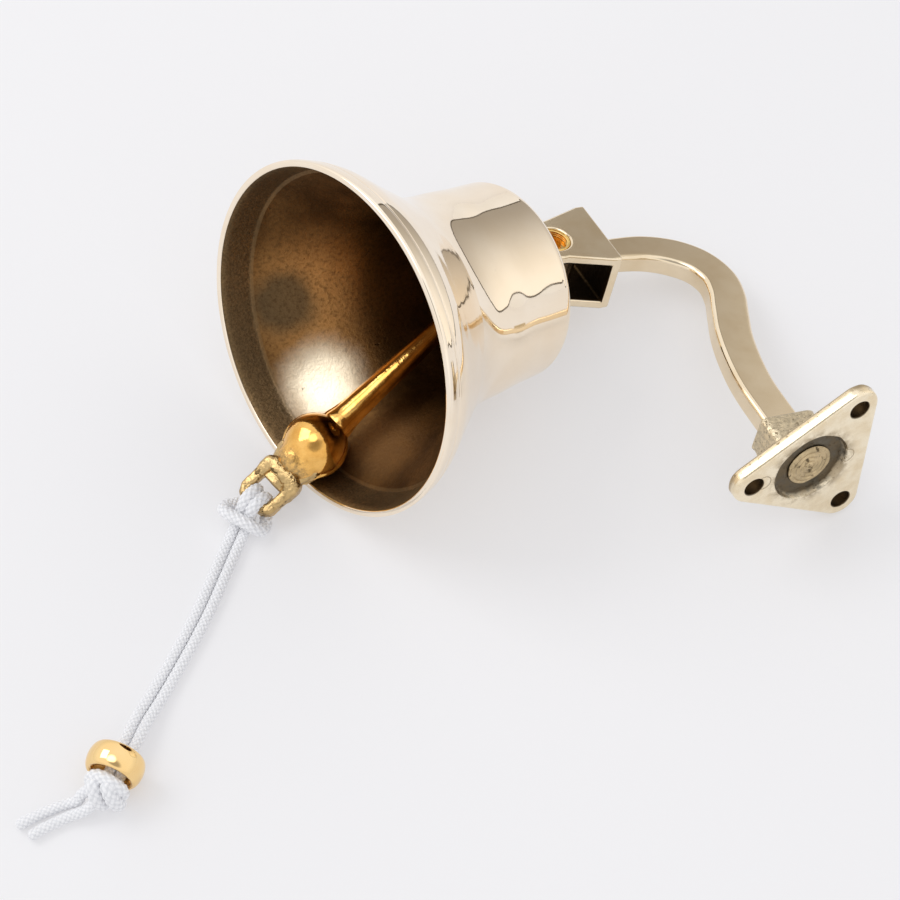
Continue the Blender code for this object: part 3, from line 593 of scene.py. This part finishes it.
# hitch on the eye, in the frame of the eye's far bar, in mm: along the bar, up, away
HITCH_ROUTE = ((3.9, -0.4, 6.8), (3.1, -0.2, 5.0), (2.3, 1.1, 3.3), (1.7, 2.6, 1.7), (1.4, 3.15, -0.1),
               (1.3, 2.2, -2.3), (1.7, 0.0, -3.15), (2.6, -2.0, -2.4), (4.1, -3.1, -0.4), (6.0, -2.7, 1.4),
               (7.3, -1.2, 3.0), (7.0, 0.9, 4.3), (5.4, 2.3, 5.2), (3.0, 2.9, 5.9), (0.5, 2.7, 6.7),
               (-2.2, 2.1, 7.5), (-4.3, 0.6, 7.4), (-4.9, -1.2, 6.0), (-4.0, -2.5, 4.0), (-3.2, -3.1, 1.6),
               (-2.6, -2.6, -1.3), (-2.0, -0.2, -3.1), (-1.7, 2.2, -2.3), (-1.6, 3.15, -0.1),
               (-1.3, 2.7, 1.7), (-0.7, 1.1, 3.6), (0.0, -0.3, 5.2), (0.3, -0.65, 6.6), (0.75, -0.65, 7.6))
# knot past the bead, in mm: along the lanyard, across it, up
KNOT_ROUTES = (((0.4, -2.9, 3.6), (2.2, -2.6, 3.0), (3.6, -1.6, 1.0),
                (4.0, -0.7, -1.5), (3.2, 0.1, -3.7), (1.0, 0.7, -4.6)),
               ((0.3, 0.6, 4.6), (2.0, 1.6, 3.4), (3.0, 2.8, 1.2),
                (3.0, 3.7, -1.2), (2.2, 4.0, -3.5), (0.5, 3.6, -4.6)))
TAIL_STARTS = {"upper": ((0.8, -1.4, 1.0), (2.2, -3.8, 0.2), (3.6, -5.8, -2.0)),
               "lower": ((1.6, -0.6, 0.2), (4.0, -1.4, -1.0), (6.2, -2.6, -2.6))}
KNOT_ACROSS = np.array((-HEADING[1], HEADING[0], 0.0))
HITCH_R, RING_R, WRAP_R = .00172, .0018, .0019


def above_table(line, radius):
    """The line lifted wherever a cord of that radius round it would dip under the table."""
    line = np.array(line)
    line[:, 2] = np.maximum(line[:, 2], 1.1 * radius + 0.00003)
    return line


def make_lanyard(bead):
    """Two strands, hitch, knot and two tails; each strand and tail is a cord of its own."""
    hitch_line = above_table(through(EYE_BAR.put(np.array(HITCH_ROUTE) * MM), 16), HITCH_R)
    hitch = cord_piece("hitch_on_eye", [hitch_line], radii=[HITCH_R])
    finish_piece(hitch, "striker", "white_cord", CORD, "lanyard_hitch")

    centre = BEAD_CENTRE + HEADING * 0.0059
    centre[2] = 0.0066
    def at(points):
        p = np.asarray(points, float) * MM
        return centre + p[:, :1] * HEADING + p[:, 1:2] * KNOT_ACROSS + p[:, 2:3] * np.array((0, 0, 1.0))
    turn = np.linspace(0, 2 * math.pi, 96)
    ring = np.stack([0.35 * np.sin(2 * turn), 4.55 * np.cos(turn), 4.55 * np.sin(turn)], -1)
    ring = above_table(at(ring), RING_R)
    radii = [RING_R, WRAP_R, WRAP_R]
    wraps = [above_table(through(at(route), 16), radius) for route, radius in zip(KNOT_ROUTES, radii[1:])]
    knot = cord_piece("stopper_knot", [ring] + wraps, radii=radii)
    finish_piece(knot, "striker", "white_cord", CORD, "lanyard_knot")

    for side, route in TAIL_ROUTES.items():
        stations = np.concatenate([at(TAIL_STARTS[side]), np.array(route) + ROOT_SHIFT])
        tail = cord_piece("tail_" + side, [above_table(through(stations, 16), CORD_R)])
        finish_piece(tail, "striker", "white_cord", CORD, "lanyard_tail_" + side)
    for side, hand in (("near", 1.0), ("far", -1.0)):
        grid, gap, line = braid(strand_line(hand))
        piece = piece_from_grids("strand_" + side, [grid], attributes={"gap": gap})
        finish_piece(piece, "striker", "white_cord", CORD, "lanyard_strand_" + side)
        [tuple(p) for p in line[::4]] + [tuple(line[-1])]


def make_bead():
    """Round bead: a half-round outside of half-length by swell, rolled edges and a plain bore."""
    half = BEAD_LEN / 2
    t = np.linspace(math.radians(-75), math.radians(75), 44)
    outside = np.stack([BEAD_HOLE_R + 0.0004 + (BEAD_R - BEAD_HOLE_R - 0.0004) * np.cos(t) ** 0.9,
                        half * np.sin(t) / math.sin(math.radians(75))], -1)
    bore = np.stack([np.full(12, BEAD_HOLE_R), np.linspace(half - 0.0002, 0.0002 - half, 12)], -1)
    profile = np.concatenate([outside, bore])
    up = np.array((0, 0, 1.0))
    place = Place(BEAD_CENTRE, np.cross(up, HEADING), HEADING)
    bead = piece_from_grids("gold_bead", [place.put(turned_grid(*profile.T, 128))], closed=True)
    return finish_piece(bead, "bead", "golden_brass", BEAD_FINISH, "lanyard_bead")


make_lanyard(make_bead())


# ---------------------------------------------------------------- bell
WAIST = ((.0012, .0501), (.0034, .0495), (.0080, .0476), (.0140, .0434), (.0205, .0388),
         (.0270, .0345), (.0330, .0317), (.0390, .0304), (.0460, .0299), (.0530, .0292))
MOUTH_R, LIP_WALL, BAND_DEPTH, BAND_WALL, STEP = .0500, .0017, .0088, .0014, .0011
WALL, CROWN_WALL, BODY_R, SHOULDER_Z, SHOULDER_ROUND = .0024, .0030, .0287, .0612, .0036
CROWN_Z, CROWN_FLAT_R, STUD_BORE = .0695, .0110, .0043


def bell_profile():
    """(radius, height) round the whole wall: bore, crown dome, shoulder, waist, lip, turned
    band, step and the inside of the waist; the waist is one curve through its stations."""
    dome = np.linspace(0, 1, 40)
    shoulder_top = SHOULDER_Z + SHOULDER_ROUND
    span = BODY_R - SHOULDER_ROUND - CROWN_FLAT_R
    crown = np.stack([CROWN_FLAT_R + span * dome,
                      shoulder_top + (CROWN_Z - shoulder_top) * (1 + np.cos(math.pi * dome)) / 2], -1)
    turn = np.linspace(math.pi / 2, 0, 30)[1:]
    shoulder = np.stack([BODY_R - SHOULDER_ROUND + SHOULDER_ROUND * np.cos(turn),
                         SHOULDER_Z + SHOULDER_ROUND * np.sin(turn)], -1)
    stations = [(BODY_R, SHOULDER_Z)] + [(r, h) for h, r in reversed(WAIST)]
    waist = through(stations, 14)[1:]
    groove = 0.00022 * np.exp(-((waist[:, 1] - 0.0042) / 0.00022) ** 2)
    waist[:, 0] -= groove
    edge = np.array(((.05012, .0007), (.05004, .00028), (.04985, .00006), (.0496, 0.0)))
    lip_in = MOUTH_R - LIP_WALL
    face = np.array(((.0492, 0.0), (.0488, 0.0), (lip_in + .0002, .00006), (lip_in, .0003)))
    outside_here = np.interp(BAND_DEPTH, [h for h, _ in WAIST], [r for _, r in WAIST])
    band_top = outside_here - BAND_WALL
    band = through([(lip_in, .0003), (lip_in - .0007, .0016), ((lip_in + band_top) / 2 - .0002, BAND_DEPTH / 2),
                    (band_top, BAND_DEPTH - .0003)], 8)[1:]
    step = np.array(((band_top - .0002, BAND_DEPTH), (band_top - STEP + .0001, BAND_DEPTH + .00005),
                     (band_top - STEP, BAND_DEPTH + .0002)))
    outer = np.concatenate([crown, shoulder, waist])[::-1]
    outer = outer[outer[:, 1] > BAND_DEPTH * 1.15]
    share = np.clip((outer[:, 1:] - SHOULDER_Z) / (CROWN_Z - SHOULDER_Z), 0, 1)
    inner = outer - np.concatenate([WALL * (1 - share), CROWN_WALL * share], 1)
    inner = inner[inner[:, 0] > STUD_BORE + .001]
    ceiling = np.array(((CROWN_FLAT_R - .002, CROWN_Z - CROWN_WALL), (STUD_BORE, CROWN_Z - CROWN_WALL)))
    rim = np.array(((STUD_BORE, CROWN_Z), (CROWN_FLAT_R - .002, CROWN_Z)))
    outside = np.concatenate([rim, crown, shoulder, waist, edge, face])
    inside = np.concatenate([band, step, inner, ceiling])
    return outside, inside


def make_bell():
    outside, inside = bell_profile()
    profile = np.concatenate([outside, inside])
    grid = turned_grid(*profile.T, 224)
    raw = np.arange(len(profile)) >= len(outside) + 26
    swell = lumps(grid, 0.006, 5)[..., None] * 0.00009 * raw[:, None, None]
    grid = BELL.put(grid + unit(grid * (1, 1, 0)) * swell)
    bell = piece_from_grids("bell_shell_turned", [grid], closed=True)
    bell.data.materials.append(BELL_OUTSIDE)
    bell.data.materials.append(BELL_INSIDE)
    row = np.repeat(np.arange(len(profile)), grid.shape[1])
    bell.data.polygons.foreach_set("material_index", (row >= len(outside) - 1).astype(np.int32))
    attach(bell, "bell")
    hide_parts("bell_shell")


make_bell()


# ---------------------------------------------------------------- clapper
BALL_AT, BALL_R, NOSE_R, NOSE_AT = .0660, .0088, .0066, .0058
ROD_R_TOP, ROD_R_BALL, TAB_R = .0024, .0038, .0030
STAPLE_SLOT = .0036


def make_clapper():
    """Rod, ball and nose: at height h the radius is a smooth maximum of the rod's taper, the
    ball's circle and the nose's circle, with a raised mould seam on two opposite meridians."""
    h = np.concatenate([np.linspace(TAB_R + .0021, BALL_AT - BALL_R, 60)[:-1],
                        np.linspace(BALL_AT - BALL_R, BALL_AT + NOSE_AT + NOSE_R, 110)])
    rod = np.interp(h, [TAB_R + .002, BALL_AT - BALL_R], [ROD_R_TOP, ROD_R_BALL])
    rod += .0003 * ease(.0545, .0575, h)
    ball = np.sqrt(np.clip(BALL_R ** 2 - (h - BALL_AT) ** 2, 0, None))
    nose = np.sqrt(np.clip(NOSE_R ** 2 - (h - BALL_AT - NOSE_AT) ** 2, 0, None))
    rod = np.where(h > BALL_AT, 0, rod)
    power = 14
    r = (rod ** power + ball ** power + nose ** power) ** (1 / power)
    r[0] = 0.0
    r[-1] = 0.0
    t = np.linspace(0, 2 * math.pi, 160, endpoint=False)
    off = np.minimum(np.abs((t - EYE_TURN + math.pi / 2) % math.pi - math.pi / 2), 1)
    width = .00030 + .00020 * np.sin(h * 900)[:, None]
    seam = .00060 * np.exp(-((off[None, :] * np.maximum(r, .001)[:, None]) / width) ** 2)
    aside = off[None, :] * r[:, None]
    lip = .00016 * ease(0, .0009, aside) * (1 - ease(.0009, .0022, aside))
    grid = turned_grid(r, h, len(t))
    bulge = lumps(grid, .0062, 11) * .00030 + lumps(grid, .0020, 12) * .00003
    keep = ease(0, .0012, r)[:, None]
    on_ball = ease(.050, .058, h)[:, None]
    size = r[:, None] + keep * ((seam - lip) * (0.35 + 0.65 * on_ball) + bulge * (0.3 + 0.7 * on_ball))
    body = piece_from_grids("clapper_rod_and_ball", [CLAPPER.put(turned_grid(size, h, len(t)))])
    finish_piece(body, "striker", "golden_brass", GOLDEN, "clapper")

    # eyelet at the pivot: a short cross cylinder and a neck under it
    tab_t = STAPLE_SLOT / 2 - .0003
    rows = np.array(((0, -tab_t), (TAB_R - .0003, -tab_t), (TAB_R, -tab_t + .0003), (TAB_R, tab_t - .0003),
                     (TAB_R - .0003, tab_t), (0, tab_t)))
    across = Place(PIVOT, CLAPPER.z, CLAPPER.x)
    neck = np.concatenate([[(0, TAB_R - .0015)], [(.0016, TAB_R - .0015)], [(ROD_R_TOP, TAB_R + .0022)],
                           [(ROD_R_TOP, TAB_R + .004)], [(0, TAB_R + .004)]])
    tab = piece_from_grids("clapper_pivot_tab", [across.put(turned_grid(*rows.T, 48)),
                                                 CLAPPER.put(turned_grid(*neck.T, 48) * (.95, .75, 1))])
    finish_piece(tab, "striker", "golden_brass", GOLDEN)


def make_eye():
    """Cast eye: a four-power loop carried by a blunt-cornered section that thickens to the
    nose, roughened by two sizes of lumps, with a fillet collar where it leaves the nose."""
    a = np.linspace(0, 2 * math.pi, 240, endpoint=False)
    side = np.sign(np.cos(a)) * np.sqrt(np.abs(np.cos(a)))
    end = np.sign(np.sin(a)) * np.sqrt(np.abs(np.sin(a)))
    line = np.stack([EYE_HALF_W * side, 0 * a, EYE_AT + EYE_HALF_L * end], -1)
    for _ in range(6):
        line = (np.roll(line, 1, 0) + 2 * line + np.roll(line, -1, 0)) / 4
    ahead = unit(np.roll(line, -1, 0) - np.roll(line, 1, 0))
    flat = np.array((0, 1.0, 0))
    outward = np.cross(ahead, flat)
    root = 1 - ease(EYE_AT - .0062, EYE_AT - .0005, line[:, 2])
    t = np.linspace(0, 2 * math.pi, 56, endpoint=False)
    shape = (np.abs(np.cos(t)) ** 3.2 + np.abs(np.sin(t)) ** 3.2) ** (-1 / 3.2)
    wide = (EYE_BAR_R + .00075 + .0016 * root)[:, None] * shape * np.cos(t)
    thick = (EYE_BAR_R + .00005 + .0011 * root)[:, None] * shape * np.sin(t)
    grid = line[:, None, :] + thick[..., None] * outward[:, None, :] + wide[..., None] * flat
    rough = lumps(grid, .0021, 21) * .00030 + lumps(grid, .0006, 22) * .00010
    grid = grid + unit(grid - line[:, None, :]) * rough[..., None]
    h = np.linspace(BALL_AT + NOSE_AT - .0010, EYE_AT - .0012, 44)
    r = .0062 - .0026 * ease(h[0], h[-1], h)
    r[0], r[-1] = 0, 0
    collar = turned_grid(r, h, 240) * (1.20, .78, 1)
    scale = 1 + .10 * lumps(collar, .0021, 23) + .04 * lumps(collar, .0008, 24)
    collar = collar * np.stack([scale, scale, np.ones_like(scale)], -1)
    loop = piece_from_grids("clapper_eye_loop", [EYE.put(grid)], closed=True)
    finish_piece(loop, "striker", "golden_brass", EYE_CAST)
    neck = piece_from_grids("clapper_eye_neck", [EYE.put(collar)])
    finish_piece(neck, "striker", "golden_brass", EYE_CAST)


make_clapper()
make_eye()


# ---------------------------------------------------------------- bracket
ARM_PATH = ((.0006, .0150), (.0008, .0235), (.0019, .0318), (.0052, .0395), (.0107, .0453), (.0181, .0477),
            (.0257, .0463), (.0337, .0426), (.0426, .0386), (.0536, .0353), (.0645, .0334), (.0806, .0326))
ARM_H, ARM_W_START, ARM_W, YOKE_BACK, GAP = .0064, .0088, .0114, .0167, .0003
FOOT_W, FOOT_H = .0176, .0120


def make_arm():
    """Rounded bar carried along the swan neck: half width grows in the first quarter."""
    path = through(ARM_PATH, 16)
    path = path[(path[:, 1] > YOKE_BACK + GAP) | (path[:, 0] > .0114)]
    path = np.concatenate([[(ARM_PATH[0][0], YOKE_BACK + GAP)], path])
    path, s = spaced(path, .0006)
    ahead = np.gradient(path, axis=0)
    ahead[0], ahead[-1] = (0, 1), (1, 0)
    ahead = unit(ahead)
    side = np.stack([-ahead[:, 1], ahead[:, 0]], -1)
    half = (ARM_W_START + (ARM_W - ARM_W_START) * np.clip(s / .024, 0, 1)) / 2
    corner = .0015
    outline = rounded_section(.0057, ARM_H / 2, corner, 64)
    flat_a = np.sign(outline[:, 0]) * np.maximum(np.abs(outline[:, 0]) - (.0057 - corner), 0)
    sign_a = np.sign(outline[:, 0])
    across = sign_a * (half[:, None] - corner) + flat_a
    plane = path[:, None, :] + across[..., None] * side[:, None, :]
    grid = np.stack([np.broadcast_to(outline[:, 1], across.shape), plane[..., 0], plane[..., 1]], -1)
    grid = grid + (lumps(grid, .008, 31) * .00006)[..., None] * np.array((1, 0, 0)) * np.sign(grid[..., :1])
    first, last = grid[:1].mean(1, keepdims=True), grid[-1:].mean(1, keepdims=True)
    grid = np.concatenate([np.repeat(first, 64, 1), grid, np.repeat(last, 64, 1)])
    arm = piece_from_grids("swan_neck_arm", [YOKE.put(grid)])
    arm.data.set_sharp_from_angle(angle=math.radians(50))
    finish_piece(arm, "bracket", "polished_brass", ARM_FINISH, "bracket_arm")

    wall = np.concatenate([np.linspace(.0772, .0800, 14), np.linspace(.0802, WALL_REACH - PLATE_T - GAP, 34)])
    grown = ease(.0772, .0800, wall)[:, None]
    unit_outline = rounded_section(1, 1, .24, 96)
    half_x = ARM_H / 2 * .96 + (FOOT_H / 2 - ARM_H / 2) * grown
    half_z = ARM_W / 2 * .96 + (FOOT_W / 2 - ARM_W / 2) * grown
    grid = np.stack([half_x * unit_outline[:, 1], wall[:, None] + 0 * half_x * unit_outline[:, 0],
                     FOOT_AT + half_z * unit_outline[:, 0]], -1)
    bumps = lumps(grid, .0030, 41) * .00026 + lumps(grid, .0010, 42) * .00012
    away = unit((grid - (0, 0, FOOT_AT)) * (1, 0, 1))
    grid = grid + away * (bumps * ease(.0775, .0800, wall)[:, None])[..., None]
    middle = np.array((0, 0, FOOT_AT))
    first = np.repeat((middle + (0, wall[0], 0))[None, None], 96, 1)
    last = np.repeat((middle + (0, wall[-1], 0))[None, None], 96, 1)
    foot = piece_from_grids("arm_foot_block", [YOKE.put(np.concatenate([first, grid, last]))])
    foot.data.set_sharp_from_angle(angle=math.radians(60))
    finish_piece(foot, "bracket", "polished_brass", FOOT_CAST)


def bevelled_copy(node, name, width, body, slot, recipe, dissolve=1.0):
    """A welded copy of a CAD node with its sharp edges rounded."""
    obj = NODES[node].copy()
    obj.data = NODES[node].data.copy()
    obj.name = name
    obj.parent = None
    for key in [k for k in obj.keys() if k.startswith("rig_")]:
        del obj[key]
    bpy.context.scene.collection.objects.link(obj)
    bm = bmesh.new()
    bm.from_mesh(obj.data)
    bmesh.ops.remove_doubles(bm, verts=bm.verts, dist=2e-6)
    bmesh.ops.dissolve_limit(bm, angle_limit=math.radians(dissolve), verts=bm.verts, edges=bm.edges)
    bm.to_mesh(obj.data)
    bm.free()
    obj.data.shade_smooth()
    obj.data.set_sharp_from_angle(angle=math.radians(30))
    bevel = obj.modifiers.new("rounded_edges", "BEVEL")
    bevel.width = width
    bevel.segments = 3
    bevel.limit_method = "ANGLE"
    bevel.angle_limit = math.radians(35)
    bevel.harden_normals = True
    bevel.use_clamp_overlap = False
    finish_piece(obj, body, slot, recipe, node)
    return obj


YOKE_H, CHEEK, PIN_OUT = .0185, .0028, .00095


def make_thread():
    """Cut thread in the cheek's hole: the bore's radius falls by a rounded vee every pitch."""
    top, low = YOKE_H / 2 - .00012, YOKE_H / 2 - CHEEK + PIN_OUT
    x = np.linspace(low, top, 60)
    pitch = .00062
    vee = np.abs(((x / pitch) % 1) - .5) * 2
    inner = np.stack([.0046 - .00058 * vee ** 1.3, x], -1)
    outer = np.array(((.00488, top), (.00488, low)))
    place = Place(YOKE.origin, YOKE.y, YOKE.x)
    ring = piece_from_grids("cheek_thread", [place.put(turned_grid(*np.concatenate([inner, outer]).T, 96))],
                            closed=True)
    finish_piece(ring, "bracket", "polished_brass", THREAD)


def make_plate():
    """Rounded triangle: each edge point is its corner's centre plus the corner radius less d,
    where d and the depth follow a rounded rim.  The screw holes and the ragged recess are
    turned cutters with flared mouths, taken out of it."""
    corner_r, rim, low_rim, per = .0060, .0013, .0008, 30
    angle = np.concatenate([a + np.radians(np.linspace(-60, 60, per)) for a in CORNERS])
    centre = np.repeat(CORNER_OUT * np.stack([np.cos(CORNERS), np.sin(CORNERS)], -1), per, 0)
    flat = np.linspace(0, 1, 10)
    q = np.linspace(0, math.pi / 2, 9)
    inset = np.concatenate([np.full(10, rim), rim * (1 - np.sin(q)),
                            low_rim * (1 - np.cos(q)), np.full(10, low_rim)])
    depth = np.concatenate([np.zeros(10), -rim * (1 - np.cos(q)),
                            low_rim * (1 - np.sin(q)) - PLATE_T, np.full(10, -PLATE_T)])
    share = np.concatenate([flat, np.ones(18), flat[::-1]])
    ring = centre[None] + (corner_r - inset)[:, None, None] * np.stack([np.cos(angle), np.sin(angle)], -1)[None]
    ring = ring * share[:, None, None]
    grid = np.concatenate([ring, np.broadcast_to(depth[:, None, None], ring.shape[:2] + (1,))], -1)
    side = 1 - ease(-.0022, -.0012, grid[..., 2])
    wobble = lumps(grid, .0016, 61) * .00016 * side * (share[:, None] > .99)
    grid = grid + wobble[..., None] * np.array((1, 1, 0)) * np.sign(grid)
    plate = piece_from_grids("plate", [PLATE.put(grid)])
    hole = np.array(((0, -.012), (.0028, -.012), (.0028, -.0006), (.00285, -.0003),
                     (.0031, -.00005), (.0036, .0004), (.0036, .002), (0, .002)))
    cutters = [piece_from_grids("screw_hole", [place.put(turned_grid(*hole.T, 48))]) for place in SCREW_HOLES]
    radius = np.concatenate([np.linspace(0, .0104, 22), (.0107, .0110, .0112, .0116, .0116), (0.0,)])
    low = np.concatenate([np.full(22, -.0016), (-.0014, -.0009, -.0003, .0003, .003), (.003,)])
    pan = turned_grid(radius, low, 144)
    rough = lumps(pan, .0024, 62)
    pan[..., 2] += np.where(low[:, None] < -.001, .00030 * rough * ease(0, .002, radius)[:, None], 0)
    pan[..., :2] *= 1 + .035 * lumps(pan, .0042, 63)[..., None] * (radius > .0101)[:, None, None]
    cutters.append(piece_from_grids("recess", [RECESS.put(pan)]))
    for cutter in cutters:
        cut = plate.modifiers.new("cut", "BOOLEAN")
        cut.operation, cut.solver, cut.object = "DIFFERENCE", "EXACT", cutter
    bpy.context.view_layer.update()
    finished = bpy.data.meshes.new_from_object(plate.evaluated_get(bpy.context.evaluated_depsgraph_get()))
    plate.modifiers.clear()
    plate.data = finished
    finished.shade_smooth()
    finished.set_sharp_from_angle(angle=math.radians(38))
    for cutter in cutters:
        bpy.data.objects.remove(cutter)
    finish_piece(plate, "bracket", "rough_brass", PLATE_FINISH, "wall_plate")


def make_rivet():
    """Peened tenon end: a low dome whose height has a hammered spiral on it."""
    r = np.linspace(0, .0066, 60)
    t = np.linspace(0, 2 * math.pi, 180, endpoint=False)
    low, high = -.0016 + .0003, .0010
    dome = low + high * np.sqrt(np.clip(1 - (r / .0068) ** 2, 0, 1))[:, None]
    spiral = .00016 * np.sin(r[:, None] / .00075 * math.pi - 1.5 * t + 1.5 * np.sin(t))
    spiral *= ease(0, .001, r)[:, None]
    dome = dome + spiral + .00022 * lumps(turned_grid(r, dome, 180), .0022, 51) * ease(0, .0008, r)[:, None]
    top = turned_grid(r, dome, 180)
    base = turned_grid(r[::-1], np.full(60, low - .0001), 180)
    rivet = piece_from_grids("arm_rivet_head", [RECESS.put(np.concatenate([top, base]))])
    finish_piece(rivet, "bracket", "rough_brass", RIVET_CAST, "arm_rivet")


make_arm()
make_thread()
make_rivet()
bevelled_copy("hanger_yoke", "yoke", .0008, "bracket", "polished_brass", YOKE_FINISH)
make_plate()
bevelled_copy("clapper_staple", "clapper_fork", .0003, "bell", "golden_brass", GOLDEN)
bevelled_copy("crown_nut", "nut_inside_crown", .0003, "bell", "fastener_brass", STEEL)
bevelled_copy("crown_washer", "washer_inside_crown", .0002, "bell", "fastener_brass", STEEL, dissolve=.2)
for node, recipe in (("hanger_pin", THREAD), ("clapper_pin", STEEL), ("crown_lug", LUG_FINISH)):
    NODES[node].data.materials.clear()
    NODES[node].data.materials.append(recipe)


# ---------------------------------------------------------------- studio
def make_floor():
    """A wide pale table."""
    mesh = bpy.data.meshes.new("table")
    mesh.from_pydata([(-3, -3, 0), (3, -3, 0), (3, 3, 0), (-3, 3, 0)], [], [(0, 1, 2, 3)])
    table = bpy.data.objects.new("table", mesh)
    bpy.context.scene.collection.objects.link(table)
    r = Recipe("pale_table")
    cloud = r.noise(0.35, 1.0)
    pale = r.mix(cloud, (0.50, 0.497, 0.505), (0.52, 0.517, 0.525))
    mesh.materials.append(r.set(Base_Color=pale, Roughness=0.9, Specular_IOR_Level=0.1, Emission_Color=pale,
                                Emission_Strength=0.72))


def make_card(name, x, half_y, half_z, middle, corner, near, far):
    """A flat rounded card that only reflections see; its light runs evenly from one side's
    colour to the other's."""
    outline = rounded_section(half_y, half_z, corner, 64)
    mesh = bpy.data.meshes.new(name)
    mesh.from_pydata([(x, middle[0] + a, middle[1] + b) for a, b in outline], [], [tuple(range(len(outline)))])
    card = bpy.data.objects.new(name, mesh)
    bpy.context.scene.collection.objects.link(card)
    r = Recipe(name)
    side = r.add("ShaderNodeSeparateXYZ", {}, {0: r.place}, 1)
    share = side.ramp(middle[0] - half_y, middle[0] + half_y)
    mesh.materials.append(r.set(Base_Color=(0, 0, 0), Roughness=1.0, Specular_IOR_Level=0.0,
                                Emission_Color=r.mix(share, near, far), Emission_Strength=1.0))
    card.visible_camera = card.visible_diffuse = card.visible_shadow = False
    card.visible_transmission = card.visible_volume_scatter = False


def make_studio():
    """Even bright room, dimmer low down and round the lens, and one large soft key light."""
    scene = bpy.context.scene
    scene.view_settings.view_transform = "Standard"
    scene.view_settings.look = "None"
    world = bpy.data.worlds.new("studio_room")
    scene.world = world
    world.use_nodes = True
    room = Nodes(world.node_tree)
    way = room.add("ShaderNodeTexCoord", {}, {}, "Generated")

    def towards(direction, low, high):
        """0 to 1 as a ray comes closer to a direction, between two cosines."""
        return room.add("ShaderNodeVectorMath", {"operation": "DOT_PRODUCT"},
                        {0: way, 1: direction}, 1).ramp(low, high)

    walls = (1 - 0.58 * towards((-0.3207, -0.4275, 0.8452), 0.86, 0.985)) * (
        0.90 + 0.18 * towards((0, 0, 1), 0.0, 0.45))
    seen = walls + 1.9 * towards((-0.20, 0.03, 0.979), 0.925, 0.985)
    glossy = room.add("ShaderNodeLightPath", {}, {}, "Is Glossy Ray")
    sky = world.node_tree.nodes["Background"]
    room.feed(sky.inputs["Color"], (0.985, 0.985, 1.0))
    room.feed(sky.inputs["Strength"], room.add("ShaderNodeMix", {"data_type": "FLOAT"},
                                               {0: glossy, 2: 0.88, 3: seen}))

    data = bpy.data.lights.new("key_softbox", "AREA")
    data.shape = "RECTANGLE"
    data.size, data.size_y = 0.9, 0.7
    data.energy = 5.0
    data.color = (1.0, 0.995, 0.98)
    key = bpy.data.objects.new("key_softbox", data)
    key.location = (-0.55, 0.85, 1.15)
    key.rotation_mode = "QUATERNION"
    key.rotation_quaternion = (Vector((-0.02, 0.0, 0.02)) - Vector(key.location)).to_track_quat("-Z", "Y")
    scene.collection.objects.link(key)

    make_card("card_edge", .2000, .150, .100, (.01, .100), .062, (0.10, 0.085, 0.065), (0.10, 0.085, 0.065))
    make_card("card_face", .1996, .145, .095, (.01, .100), .059, (1.12, 1.08, 1.02), (0.40, 0.37, 0.335))


make_floor()
make_studio()
